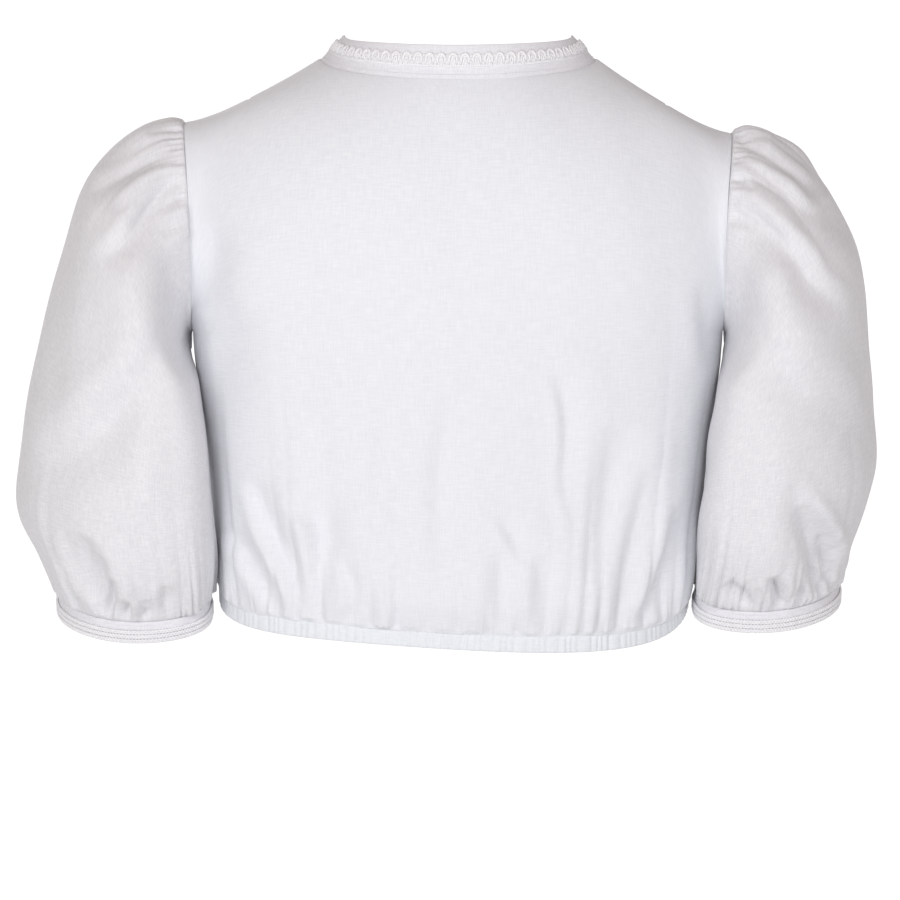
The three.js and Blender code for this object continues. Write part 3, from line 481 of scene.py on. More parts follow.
across, up = np.meshgrid(np.linspace(-1, 1, 261), rows_of(44, 116))
p, n, rise = body_cloth(BACK, across, up, BACK_FOLDS, 3)
rise -= seam_dip((1 - np.abs(across)) * 240, 0.3) + shoulder_dip(up)
back = cloth_grid("blouse_back", lifted(p, n, rise), flip=True)
print("back:", len(back.data.polygons), "faces,", round(flat_area(back), 4), "square metres")

# %% [markdown]
# ## The fronts
# The front is in three: a centre cut on the fold, with the deep V, and two sides. The seams between them
# run from the shoulder over the bust to the hem, because a flat cloth takes a round form only where two
# curved edges are sewn together. They turn up where a panel's edge is found: the share of the way across
# at which the body reaches the seam's distance from the middle, searched by halving.

# %% The fronts
NECKLINE = [
    # up, distance from the middle
    (0.148, 0), (0.24, 29), (0.33, 48), (0.42, 66), (0.51, 82), (0.6, 91), (0.76, 93), (0.88, 90.5),
    (1.0, 88),
]
NECK_POINT_UP = NECKLINE[0][0]
PRINCESS_SEAM = [(0.0, 76), (0.22, 86), (0.42, 98), (0.6, 114), (0.82, 130), (1.0, 136)]
FRONT_FOLDS = [
    (5, 2, 3, 126, -262, 120, -300, 108, -340),
    (5, 2, 2.6, 100, -268, 96, -305, 88, -340),
    (5, 1.8, 2.2, 62, -282, 60, -310, 58, -338),
    (5, 1.8, 1.8, 30, -295, 28, -318, 30, -338),
    (5, 1.8, 1.6, -4, -300, -2, -320, -3, -338),
    (5, 1.8, 1.8, -33, -290, -32, -315, -30, -338),
    (5, 2, 2.4, -60, -278, -57, -308, -55, -338),
    (5.5, 2, 2.8, -97, -262, -93, -300, -86, -340),
    (5, 1.8, 2.6, -128, -266, -123, -300, -114, -338),
    (4.5, 1.8, 2.2, 142, -280, 136, -305, 128, -332),
    (4.5, 1.8, 2.2, -142, -276, -138, -305, -130, -334),
    (8, 1.6, 2.4, 152, -118, 142, -150, 126, -186),
    (8, 1.6, 2.4, -152, -122, -143, -155, -128, -190),
]


def share_at(x, up):
    """How far across the front is at a distance x from the middle, by halving 40 times."""
    low, high = np.zeros(np.shape(up)), np.ones(np.shape(up))
    for _ in range(40):
        middle = (low + high) / 2
        nearer = half_body(FRONT, LEFT, middle, up)[..., 0] < x
        low, high = np.where(nearer, middle, low), np.where(nearer, high, middle)
    return (low + high) / 2


def princess_share(up):
    """The seam over the bust, as a share of the way across at each height."""
    return share_at(read_table(PRINCESS_SEAM, up)[..., 1], up)


def neck_share(up):
    """The V's edge: nought below its point, and the neck point at the shoulder."""
    share = share_at(read_table(NECKLINE, np.maximum(up, NECK_POINT_UP))[..., 1], up)
    return np.where(up <= NECK_POINT_UP, 0, np.where(up >= 1, NECK_ACROSS, share))


front_up = np.unique(np.append(rows_of(40, 112), NECK_POINT_UP))
princess, neck = princess_share(front_up)[:, None], neck_share(front_up)[:, None]
front_up = front_up[:, None]
for side, name in SIDES:
    share = mix(princess, 1.0, np.linspace(0, 1, 77))
    p, n, rise = body_cloth(FRONT, side * share, front_up, FRONT_FOLDS, 5)
    rise -= seam_dip((share - princess) * 250) + shoulder_dip(front_up)
    rise -= seam_dip((1 - share) * 240, 0.3)
    cloth_grid(f"blouse_front_side_{name}", lifted(p, n, rise), flip=side == RIGHT)

halves = []
for side in (RIGHT, LEFT):
    share = mix(neck, princess, np.linspace(0, 1, 62))
    p, n, rise = body_cloth(FRONT, side * share, front_up, FRONT_FOLDS, 5)
    rise -= seam_dip((princess - share) * 250) + shoulder_dip(front_up)
    halves.append(lifted(p, n, rise))
quads = [grid_faces(*h.shape[:2], flip=i == 0) for i, h in enumerate(halves)]
weaves = [grid_weave(h) for h in halves]
points = [h.reshape(-1, 3) for h in halves]
quads = np.concatenate([quads[0], quads[1] + len(points[0])])
weave = np.concatenate([weaves[0][:, ::-1], weaves[1]])
mesh_piece("blouse_front_centre", np.concatenate(points), quads, weave, CLOTH_THICKNESS)
print("front:", [(k, len(v.data.polygons)) for k, v in made.items() if "front" in k])

# %% [markdown]
# ## The puff sleeves
# Each sleeve is cut much wider than the arm. Its head is gathered into the armhole, which throws folds
# out over the puff, and its lower edge is gathered into the cuff. The two sleeves of one blouse never
# fall alike, so each has its own drawn folds, seen from behind and from the front.

# %% The sleeves
SLEEVE_FOLDS = {}
SLEEVE_FOLDS[LEFT, BACK] = [
    (3, 1.8, 1.6, 176, -45, 188, -42, 200, -45),
    (4, 2.2, 3.4, 176, -48, 197, -52, 213, -59, 230, -69),
    (4.2, 2.2, 3.6, 175, -56, 186, -58, 204, -64, 220, -73, 234, -86),
    (4.2, 2.2, 3.4, 174, -66, 186, -70, 197, -78, 213, -94),
    (4.6, 2.4, 4.6, 173, -73, 182, -77, 192, -87, 207, -106, 226, -124),
    (2.6, 1.6, 1.6, 172, -84, 178, -86, 186, -92),
    (2.6, 1.6, 1.2, 172, -96, 179, -99, 188, -106),
    (11, 2, 4.2, 171, -145, 196, -194, 227, -231, 256, -262),
    (12, 1.8, 2.6, 203, -205, 234, -228, 279, -277),
    (4.6, 1.8, 2.6, 248, -296, 246, -318, 240, -340),
    (4.6, 2, 3.6, 237, -296, 237, -318, 234, -344),
    (4, 2, 3.4, 230, -308, 230, -330, 228, -352),
    (3.4, 1.8, 2.6, 221, -322, 224, -338, 224, -354),
    (3, 1.8, 1.8, 214, -338, 213, -348, 212, -357),
    (3.4, 1.8, 1.8, 199, -338, 201, -350, 203, -358),
    (4, 1.8, 1.6, 186, -330, 187, -342, 190, -356),
    (10, 1.4, 1.6, 176, -200, 180, -240, 178, -290),
    (1.8, 1.6, 1.6, 223, -330, 224, -350, 226, -376),
    (1.7, 1.4, 1.5, 217, -340, 216, -356, 215, -376),
    (1.8, 1.4, 1.6, 210, -338, 212, -354, 214, -376),
    (1.7, 1.4, 1.2, 197, -346, 203, -358, 209, -374),
]
SLEEVE_FOLDS[RIGHT, BACK] = [
    (3.2, 2, 2.2, 177, -49, 188, -48, 199, -50),
    (3.8, 2, 3.6, 199, -46, 208, -52, 221, -60, 230, -69, 236, -84),
    (3.8, 2.2, 3.8, 176, -53, 188, -54, 210, -66, 223, -77, 236, -84),
    (4, 2.2, 3.6, 176, -63, 191, -69, 206, -80, 219, -92, 229, -98),
    (2.6, 1.6, 1.6, 174, -73, 180, -75, 188, -80),
    (4.6, 2.4, 4.6, 173, -87, 186, -95, 201, -107, 215, -121, 224, -135, 245, -155),
    (2.6, 1.6, 1.4, 173, -94, 180, -97, 187, -102),
    (11, 1.8, 3, 172, -135, 190, -172, 214, -206, 246, -230),
    (5.4, 2.2, 3.4, 209, -262, 225, -303, 234, -340),
    (4.2, 2, 4.4, 219, -276, 236, -304, 243, -334),
    (3.6, 1.8, 2.6, 201, -322, 206, -336, 211, -352),
    (3, 1.8, 1.8, 219, -332, 220, -340, 221, -350),
    (4, 1.8, 2.6, 171, -328, 181, -338, 189, -352),
    (3.4, 1.8, 1.6, 184, -326, 192, -338, 198, -352),
    (10, 1.4, 1.6, 176, -210, 184, -250, 180, -300),
    (1.8, 1.6, 1.6, 200, -324, 205, -338, 213, -364),
    (1.6, 1.4, 1.2, 217, -334, 219, -346, 221, -366),
    (1.9, 1.6, 1.6, 237, -300, 240, -322, 243, -350),
    (1.9, 1.8, 1.4, 227, -312, 232, -332, 238, -358),
]
SLEEVE_FOLDS[LEFT, FRONT] = [
    (4.2, 2.2, 3.4, 178, -50, 200, -54, 218, -64, 236, -84),
    (4.2, 2.2, 3.4, 176, -62, 192, -68, 208, -82, 222, -104),
    (4.6, 2.4, 4, 174, -76, 188, -84, 202, -102, 224, -136),
    (3, 1.8, 1.8, 173, -92, 182, -98, 190, -110),
    (11, 1.8, 3.8, 174, -128, 196, -172, 226, -212, 256, -246),
    (4.6, 2, 3.2, 246, -286, 242, -312, 236, -340),
    (4.4, 2, 2.8, 222, -300, 224, -324, 222, -346),
    (4.4, 2, 2.8, 198, -304, 202, -326, 204, -348),
    (4, 1.8, 2, 180, -312, 184, -330, 188, -350),
]
SLEEVE_FOLDS[RIGHT, FRONT] = [
    (4.2, 2.2, 3.4, 178, -54, 198, -58, 218, -68, 238, -90),
    (4.2, 2.2, 3.4, 176, -66, 192, -73, 210, -88, 230, -116),
    (4.6, 2.4, 4, 174, -80, 190, -90, 210, -112, 238, -152),
    (3, 1.8, 1.8, 173, -96, 182, -103, 191, -116),
    (11, 1.8, 3.4, 174, -136, 196, -176, 222, -212, 248, -236),
    (4.6, 2, 3, 234, -280, 232, -306, 228, -334),
    (4.4, 2, 2.8, 210, -294, 213, -318, 213, -342),
    (4.4, 2, 2.6, 190, -292, 193, -318, 198, -344),
    (4, 1.8, 2, 170, -308, 176, -326, 182, -346),
]

def sleeve_cloth(side, angle, down):
    """The sleeve's form, moved along its normal by the drawn folds of the half it is on, gathers out of
    the armhole over the top of the arm, gathers into the cuff, and the cloth's unevenness."""
    p, n = sleeve_form(side, angle, down), sleeve_normal(side, angle, down)
    x, z, swing = np.abs(p[..., 0]), p[..., 2], np.sin(angle)
    rise = np.zeros(angle.shape)
    for face in (BACK, FRONT):
        rise -= SLEEVE_FOLD * troughs(x, z, SLEEVE_FOLDS[side, face]) * smooth(2.5 * swing * face + 0.1)
    rise *= smooth(down / 0.02) * smooth((1 - down) / 0.02) * (1 + 0.5 * smooth((down - 0.78) / 0.12))
    on_head = smooth(1.5 * (1 - np.abs(angle) / 1.95))
    from_head, from_cuff = down * SLEEVE_LENGTH, (1 - down) * SLEEVE_LENGTH
    along_head, along_cuff = angle * HEAD_RADIUS, angle * CUFF_RADIUS
    seed = 31 + 7 * side
    sewn = smooth(from_head / 5) * on_head
    rise += sewn * gathers(along_head, from_head, 6.4, 1.7, 13.0, seed)
    rise += sewn * gathers(along_head, from_head, 15.0, 2.0, 46.0, seed + 3)
    calm = 0.65 + 0.35 * wander(angle * 1.3, seed + 9)
    rise += calm * smooth(from_cuff / 3) * gathers(along_cuff, from_cuff, 7.5, 3.0, 20.0, seed + 5)
    rise += calm * smooth(from_cuff / 4) * gathers(along_cuff, from_cuff, 17.0, 2.4, 42.0, seed + 7)
    rise += unevenness(p, 0.7, seed + 11) * smooth(from_head / 12) * smooth(from_cuff / 12)
    rise -= seam_dip(from_head, 0.3, 2.0) + seam_dip(from_cuff, 0.9, 1.6)
    return lifted(p, n, rise)


ends = 0.14 * np.linspace(0, 1, 34)[:-1]
sleeve_down = np.concatenate([ends, np.linspace(0.14, 0.86, 84), 1 - ends[::-1]])
for side, name in SIDES:
    angle, down = np.meshgrid(np.linspace(-pi, pi, 281)[:-1], sleeve_down)
    cloth = sleeve_cloth(side, angle, down)
    sleeve = cloth_grid(f"blouse_sleeve_{name}", cloth, flip=side == LEFT, round_u=True)
    print(name, "sleeve:", len(sleeve.data.polygons), "faces,", round(flat_area(sleeve), 4), "m2")

# %% [markdown]
# ## Strips along a seam
# The stand band, the cuffs and the hem are strips sewn to an edge. A strip needs three things at each
# place of its seam: the place, the direction out of the cloth, and the direction across the strip, which
# is square to both. With those, any section, cord or stitch can be laid by three lengths: along the seam,
# across the strip, and off its face.

# %% Strips
def read_columns(at, places, values):
    """Each of three columns of values, read between its places."""
    return np.stack([np.interp(at, places, values[:, k]) for k in range(3)], -1)


def lay(strip, s, w, h):
    """The point at s along the seam, w across the strip and h off its face. On the neck band the two
    arms end at the middle of the V, so a point past the middle stays on it."""
    s, w, h = np.broadcast_arrays(np.asarray(s, float), w, h)
    at, n, across = (read_columns(s, strip["s"], strip[key]) for key in ("at", "normal", "across"))
    p = at + across * w[..., None] + n * h[..., None]
    if strip["mitred"]:
        crossed = np.where(s < strip["s"][-1] / 2, p[..., 0] < 0, p[..., 0] > 0)
        share = np.where(crossed, at[..., 0] / np.where(crossed, at[..., 0] - p[..., 0], 1), 1)
        p = mix(at, p, np.clip(share, 0, 1)[..., None])
    return p


def round_section(low, high, thickness, corner, face):
    """A strip's section as (w, h) corners: a flat face, two round edges and a flat back."""
    turn = np.linspace(pi / 2, -pi / 2, 7)
    half = thickness / 2
    bulge = min(corner, half)
    right = np.stack([high - bulge + bulge * np.cos(turn), face - half + half * np.sin(turn)], -1)
    left = np.stack([low + bulge - bulge * np.cos(turn), face - half + half * np.sin(turn)], -1)
    top = np.stack([np.linspace(low + bulge, high - bulge, 9)[1:-1], np.full(7, face)], -1)
    inner = np.stack([np.linspace(high - bulge, low + bulge, 5)[1:-1], np.full(3, face - thickness)], -1)
    return np.concatenate([top, right, inner, left[::-1]])


def evened(values, times):
    """Each value becomes the mean of itself and its neighbours, some times over; the ends stay."""
    values = values.copy()
    for _ in range(times):
        values[1:-1] = (values[:-2] + 2 * values[1:-1] + values[2:]) / 4
    return values


def make_strip(at, normal, step, closed=True):
    """A strip at even steps along a seam. The open one, at the neck, is smoothed and has a mitre."""
    if closed:
        at, normal = np.concatenate([at, at[:1]]), np.concatenate([normal, normal[:1]])
    lengths = np.append(0, np.cumsum(np.linalg.norm(np.diff(at, axis=0), axis=1)))
    s = np.linspace(0, lengths[-1], int(round(lengths[-1] / step)) + 1)
    place, n = read_columns(s, lengths, at), unit(read_columns(s, lengths, normal))
    if not closed:
        place = evened(place, 3)
    along = np.gradient(place, s, axis=0)
    if closed:
        along[0] = along[-1] = along[0] + along[-1]
    across = np.cross(n, along) if closed else evened(np.cross(n, along), 6)
    return {"s": s, "at": place, "normal": n, "across": unit(across), "mitred": not closed}


def strip_piece(name, strip, section, relief):
    """A section carried along the strip. relief adds to the height of the outer face along the seam."""
    s = strip["s"] if strip["mitred"] else strip["s"][:-1]
    s, w = np.meshgrid(s, section[:, 0])
    h = np.broadcast_to(section[:, 1:], w.shape)
    p = lay(strip, s, w, h + relief(s, w) * smooth((h - h.min()) / np.ptp(h)))
    quads = grid_faces(*p.shape[:2], round_u=not strip["mitred"], round_v=True)
    closed = np.concatenate([p, p[:1]])
    return mesh_piece(name, p, quads, grid_weave(closed, not strip["mitred"]))

# %% [markdown]
# ## The neck band
# A double strip stands up round the back of the neck and lies flat down both sides of the V. Its lean
# turns from nearly upright at the back to 44 degrees at the shoulder seams, and below them into the
# front's own slope. The two arms meet in a mitre in the middle.

# %% The neck band
NECK_BAND = {"width": 21.5, "thickness": 1.5, "foot": 8.1, "crown": 15.7, "pitch": 7.6}


def standing_normal(side, turn):
    """Outwards round the neck, tipped up by a lean that grows from 8 degrees at the back to 44 at the
    shoulder. turn is in degrees from the middle of the back."""
    tip, around = np.radians(mix(8.0, 44.0, smooth(turn / 90))), np.radians(turn)
    return point(side * np.sin(around) * np.cos(tip), np.cos(around) * np.cos(tip), np.sin(tip))


def neck_arm(side):
    """The V's edge from its point up to the shoulder, with normals that turn from the cloth's own."""
    up = np.linspace(NECK_POINT_UP, 1, 150)[:-1]
    share = side * np.maximum(neck_share(up), 1e-6)
    standing = smooth((up - 0.7) / 0.3)[:, None]
    own = body_normal(FRONT, share, np.minimum(up, 0.97))
    return body_form(FRONT, share, up), mix(own, standing_normal(side, 90.0), standing)


def neck_back():
    """The edge round the back of the neck, from the left shoulder seam to the right."""
    across = np.linspace(NECK_ACROSS, -NECK_ACROSS, 121)
    turn = 90 * np.abs(across) / NECK_ACROSS
    normals = np.where((across >= 0)[:, None], standing_normal(LEFT, turn), standing_normal(RIGHT, turn))
    return body_form(BACK, across, np.ones(121)), normals


arms = [neck_arm(LEFT), neck_back(), tuple(a[::-1] for a in neck_arm(RIGHT))]
neck_at = np.concatenate([at for at, _ in arms])
neck_normal = evened(np.concatenate([normal for _, normal in arms]), 12)
neck = make_strip(neck_at, neck_normal, step=2.0, closed=False)


def band_relief(s, w):
    """Double cloth isn't quite even: a slow wander, and a dip along the topstitch."""
    return 0.18 * wander(s / 14, 71) - 0.35 * np.exp(-(((w - 2.6) / 0.7) ** 2))


band_section = round_section(-0.6, NECK_BAND["width"], NECK_BAND["thickness"], corner=0.7, face=0.15)
band = strip_piece("neck_band_cloth", neck, band_section, band_relief)
print("neck band:", round(neck["s"][-1]), "mm round,", len(band.data.polygons), "faces")

# %% [markdown]
# ## Cords in loops
# The trim is a woven loop braid: soft cords laid in a row of small arches on a narrow tape. Each arch is
# a tube bent along an upright U. One function makes all the tubes of a kind at once, because an arch
# differs from the next only in where it lies.

# %% Tubes and stitches
STITCH = {"pitch": 2.3, "length": 1.5, "radius": 0.28}


def tubes(name, lines, normals, radius, sides=6, flat=1.0, closed=False):
    """Tubes along many lines of equal length: round each point, a ring square to the way along. flat
    squeezes the ring along the given normals. Open ends close to a point."""
    along = np.gradient(lines, axis=1)
    if closed:
        along = np.roll(lines, -1, axis=1) - np.roll(lines, 1, axis=1)
    along = unit(along)
    beside = unit(np.cross(along, normals))
    above = np.cross(beside, along)
    count, steps = lines.shape[:2]
    taper = np.ones(steps)
    if not closed:
        taper[[0, -1]] = 0.0
        taper[[1, -2]] = 0.8
    turn = np.linspace(0, 2 * pi, sides, endpoint=False)
    cos, sin = np.cos(turn)[:, None], np.sin(turn)[:, None]
    ring = beside[:, :, None] * cos + flat * above[:, :, None] * sin
    rings = lines[:, :, None] + (radius * taper)[:, None, None] * ring
    quads = grid_faces(steps, sides, round_u=True, round_v=closed, flip=True)
    offsets = (np.arange(count) * steps * sides)[:, None, None]
    return mesh_piece(name, rings, (quads + offsets).reshape(-1, 4))


def places_along(strip, pitch):
    """Even places along a strip, as near the pitch as its length allows, and the pitch they have."""
    length = strip["s"][-1]
    count = int(round(length / pitch))
    return (np.arange(count) + 0.5) * length / count, length / count


def normals_at(strip, s):
    """The direction out of the strip at places along it."""
    return read_columns(s, strip["s"], strip["normal"])


def stitches(name, strip, w, height):
    """A row of short stitches, each a small tube with its ends sunk in the cloth."""
    s = places_along(strip, STITCH["pitch"])[0]
    t = np.linspace(-0.5, 0.5, 6)
    path = s[:, None] + STITCH["length"] * t
    lines = lay(strip, path, w, height - 0.35 * (2 * np.abs(t)) ** 2)
    tubes(name, lines, normals_at(strip, path), STITCH["radius"], sides=5)

# %% [markdown]
# ## The loop braid on the neck band
# Seen close, the braid is a row of arches about 7.6 mm apart and 8.4 mm tall. A thick soft cord makes the
# arch, a thinner one fills it, and the tape under them ends in a scallop over each arch. On the band's
# mitre the braid is simply folded, so its lane is laid on the strip like everything else.

# %% The neck braid
def arch(t, half, foot, crown):
    """An upright U: two legs that lean together a little at the foot, and a half ellipse over them."""
    turn = pi * t
    s = -half * np.cos(turn) * (1 - 0.12 * (np.sin(turn) < 0.35))
    return s, foot + (crown - foot) * np.sin(turn) ** 0.55


def loop_braid(name, foot, crown, half, radius, height):
    """Arches in a row along the neck band, as tubes."""
    s = places_along(neck, NECK_BAND["pitch"])[0]
    arch_s, arch_w = arch(np.linspace(0, 1, 17), half, foot, crown)
    path = s[:, None] + arch_s
    tubes(name, lay(neck, path, arch_w, height), normals_at(neck, path), radius, sides=7, flat=0.8)


foot, crown = NECK_BAND["foot"], NECK_BAND["crown"]
arch_at, pitch = places_along(neck, NECK_BAND["pitch"])
tape_s, tape_w = np.meshgrid(neck["s"], np.linspace(0, 1, 7))
scallop = 1.5 * np.abs(np.sin(pi * tape_s / pitch)) ** 0.8
tape = lay(neck, tape_s, mix(foot - 0.7, crown - 0.8 + scallop, tape_w), 0.62)
cloth_grid("neck_braid_tape", tape, thickness=0.5)
loop_braid("neck_braid_arches", foot, crown, half=2.7, radius=1.0, height=0.95)
loop_braid("neck_braid_fill", foot, crown - 2.7, half=1.0, radius=0.7, height=0.85)
bar_s = np.repeat(arch_at[:-1] + pitch / 2, 3)[:, None] + np.array([-0.9, -0.45, 0.0, 0.45, 0.9])
bar_w = np.tile(foot + 0.9 + np.arange(3) * 1.9, len(arch_at) - 1)[:, None]
tubes("neck_braid_bars", lay(neck, bar_s, bar_w, 0.85), normals_at(neck, bar_s), 0.5, sides=5)
stitches("neck_band_topstitch", neck, w=2.6, height=0.12)
print("neck braid:", len(arch_at), "arches,", round(pitch, 2), "mm apart")

# %% [markdown]
# ## The cuffs and their braid
# A cuff is a double strip round the arm. Its lower two thirds carry a finer braid: three wavy cords that
# touch where they swing towards each other, so the gaps between them read as a chain of small eyes.

# %% The cuffs
CUFF = {"width": 13.3, "thickness": 1.6, "wave": 4.1, "swing": 0.85, "cord_radius": 0.72}
CUFF_CORDS = ((5.9, 0.0), (8.75, pi), (11.6, 0.0))  # each one's place across the cuff, and its phase
LEVEL = np.array([1.0, 1.0, 0.0])  # times a direction: the same direction, level
cuff_section = round_section(-0.8, CUFF["width"], CUFF["thickness"], corner=0.8, face=0.25)


def cuff_relief(s, w):
    """The sewn-in cloth makes the cuff a little lumpy, most at its upper edge."""
    return 0.25 * wander(s / 9, 83) + 0.35 * wander(s / 3.5, 84) * np.exp(-((w / 2.5) ** 2))


def wavy_cord(name, strip, w, phase):
    """One closed cord that swings from side to side in even waves and rises where it crosses over."""
    round_arm = strip["s"][-1]
    waves = round(round_arm / CUFF["wave"])
    s = np.linspace(0, round_arm, waves * 8, endpoint=False)
    turn = 2 * pi * waves * s / round_arm + phase
    line = lay(strip, s, w + CUFF["swing"] * np.sin(turn), 1 + 0.22 * np.cos(2 * turn))
    tubes(name, line[None], normals_at(strip, s)[None], CUFF["cord_radius"], sides=6, closed=True)


for side, name in SIDES:
    angle = -side * np.linspace(0, 2 * pi, 200, endpoint=False)
    at = sleeve_form(side, angle, np.ones(200))
    out = unit((at - at.mean(0)) * LEVEL)
    cuff = make_strip(at, out, step=1.6)
    strip_piece(f"cuff_cloth_{name}", cuff, cuff_section, cuff_relief)
    s, w = np.meshgrid(cuff["s"][:-1], np.linspace(4.6, 13.0, 7))
    cloth_grid(f"cuff_braid_tape_{name}", lay(cuff, s, w, 0.75), round_u=True, thickness=0.5)
    for k, (w, phase) in enumerate(CUFF_CORDS):
        wavy_cord(f"cuff_braid_cord_{name}_{k + 1}", cuff, w, phase)
        wavy_cord(f"cuff_braid_twin_{name}_{k + 1}", cuff, w, phase + pi)
    stitches(f"cuff_topstitch_{name}", cuff, w=1.5, height=0.22)
    print(name, "cuff:", round(cuff["s"][-1]), "mm round")

# %% [markdown]
# ## The gathered hem
# The hem is turned up over a narrow elastic. Where the elastic draws in, the casing stands in fine ribs
# about 5 mm apart, none quite like the next, and they run on into the gathers of the panels above.

# %% The hem casing
HEM = {"width": 10.4, "thickness": 2.6, "rib": 5.2}


def hem_seam():
    """The lower edge of the back from the wearer's right to left, then of the front the other way."""
    across = np.linspace(-1, 1, 300)
    at = np.concatenate([body_form(BACK, across, 0.0)[:-1], body_form(FRONT, -across, 0.0)[:-1]])
    return at, unit(at * LEVEL)


def hem_relief(s, w):
    """Ribs with narrow valleys, uneven in width and height, and a dip along the seam above them."""
    turn = s / HEM["rib"] + 0.38 * wander(s / 5.5, 91)
    rib = 1 - np.abs(np.sin(pi * turn)) ** 0.7
    return -1.25 * rib * (0.75 + 0.35 * wander(s / 6.5, 92)) * smooth((w + 1.0) / 2.4)


hem = make_strip(*hem_seam(), step=0.8)
hem_section = round_section(-0.6, HEM["width"], HEM["thickness"], corner=1.2, face=0.45)
casing = strip_piece("hem_casing_cloth", hem, hem_section, hem_relief)
print("hem:", round(hem["s"][-1]), "mm round,", len(casing.data.polygons), "faces")

# %% [markdown]
# ## Inside: labels and seam allowances
# Two blank labels hang from the neck seam inside the back. The seams have allowances, the cloth's cut
# edges turned to one side, which stiffen each seam and show through thin cloth as a faint line.

# %% Labels and allowances
def up_for_height(z):
    """How far up the middle of the back a given height lies, read from a table of heights."""
    up = np.linspace(0.6, 1, 400)
    return np.interp(z, body_form(BACK, 0.0, up)[:, 2], up)


def inside_patch(name, x, z, thickness, sag):
    """A small patch inside the back, at a distance from the cloth that grows downwards as it hangs."""
    x, z = np.meshgrid(x, z)
    up = up_for_height(z)
    share = np.abs(x) / np.maximum(half_body(BACK, LEFT, np.full_like(up, 0.2), up)[..., 0], 1) * 0.2
    across = np.sign(x) * share
    p, n = body_form(BACK, across, up), body_normal(BACK, across, up)
    away = 2.2 + sag * ((z.max() - z) / np.ptp(z)) ** 1.5
    cloth_grid(name, lifted(p, n, -away), thickness=thickness)


neck_z = float(body_form(BACK, 0.0, 1.0)[2])
label_z, tab_z = np.linspace(neck_z - 36, neck_z - 1.5, 18), np.linspace(neck_z - 30, neck_z - 1.5, 16)
inside_patch("neck_label_cloth", np.linspace(-20, 23, 24), label_z, 0.4, 1.0)
inside_patch("care_label_cloth", np.linspace(25, 48, 14), tab_z, 0.3, 1.2)


def allowance(name, face, across, up):
    """A narrow strip behind a seam: the same surface, a little further in."""
    p, n = body_form(face, across, up), body_normal(face, across, up)
    p = p - 1.1 * n
    flip = (np.cross(p[0, 1] - p[0, 0], p[1, 0] - p[0, 0]) @ n[0, 0]) < 0
    mesh_piece(name, p, grid_faces(*p.shape[:2], flip=bool(flip)), grid_weave(p), 0.4)


seam_up, side_up = np.linspace(0.03, 0.985, 90)[:, None], np.linspace(0.03, 0.595, 60)[:, None]
shoulder_across = np.linspace(NECK_ACROSS + 0.03, 0.97, 50)[:, None]
for side, name in SIDES:
    seam = princess_share(seam_up) + np.linspace(-0.004, 0.04, 5)
    allowance(f"princess_allowance_{name}", FRONT, side * seam, seam_up)
    allowance(f"side_allowance_{name}", BACK, side * np.linspace(0.955, 0.995, 5), side_up)
    allowance(f"shoulder_allowance_{name}", BACK, side * shoulder_across, np.linspace(0.93, 0.985, 5))
print("inside pieces:", sorted(k for k in made if "allowance" in k or "label" in k))

# %% [markdown]
# ## Materials
# Everything here is cotton, bleached white. What tells the pieces apart is the weave: a fine plain weave
# on the body, a coarser one with thick and thin threads on the sleeves, a dense double cloth on band and
# cuffs, twisted cord in the braid. Cloth is nearly matt, with a soft sheen at grazing angles from the
# fibre ends, so roughness is high and the sheen socket is used.

# %% Colours and nodes
def linear(hex_colour):
    """An sRGB hex colour as linear red, green, blue and alpha, which is what a shader adds up."""
    s = np.array([int(hex_colour[i:i + 2], 16) for i in (1, 3, 5)]) / 255
    return tuple(np.where(s <= 0.04045, s / 12.92, ((s + 0.055) / 1.055) ** 2.4)) + (1.0,)


def add_node(tree, kind, settings=None, **inputs):
    """One node with its settings; an input is a value or another node's output."""
    node = tree.nodes.new(kind)
    for key, value in (settings or {}).items():
        setattr(node, key, value)
    for key, value in inputs.items():
        socket = node.inputs[int(key[1:])] if key[1:].isdigit() else node.inputs[key.replace("_", " ")]
        if isinstance(value, bpy.types.NodeSocket):
            tree.links.new(value, socket)
        else:
            socket.default_value = value
    return node


def start_material(name, roughness, sheen):
    """A new material with its shader; cotton's index of refraction is near 1.5."""
    material = bpy.data.materials.new(name)
    material.use_nodes = True
    shader = material.node_tree.nodes["Principled BSDF"]
    for socket, value in (("Roughness", roughness), ("IOR", 1.5), ("Specular IOR Level", 0.25),
                          ("Sheen Weight", sheen), ("Sheen Roughness", 0.5)):
        shader.inputs[socket].default_value = value
    return material, material.node_tree, shader


def maths(tree, operation, *values):
    """The result of a Math node."""
    inputs = {f"_{i}": value for i, value in enumerate(values)}
    return add_node(tree, "ShaderNodeMath", {"operation": operation}, **inputs).outputs[0]


def tint_and_bump(tree, shader, height, low, high, light, dark, lift):
    """One height mixes the dark colour to the light one, and bumps the surface."""
    tint = add_node(tree, "ShaderNodeMapRange", Value=height, From_Min=low, From_Max=high)
    colour = add_node(tree, "ShaderNodeMix", {"data_type": "RGBA"}, Factor=tint.outputs[0],
                      _6=linear(dark), _7=linear(light))
    tree.links.new(colour.outputs[2], shader.inputs["Base Color"])
    bump = add_node(tree, "ShaderNodeBump", Height=height, Distance=lift * MM, Strength=0.6)
    tree.links.new(bump.outputs[0], shader.inputs["Normal"])

# %% [markdown]
# ## Woven cotton
# Threads are about 0.4 mm apart, less than a pixel of the picture, so the regular weave is drawn 1.1 to
# 1.4 mm apart, as coarse as it needs to be to show. What the eye really catches are the slubs: places
# where one thread is thicker. They are noise drawn out along the thread, once for the warp and once for
# the weft, and they lift the surface and lighten it a little.

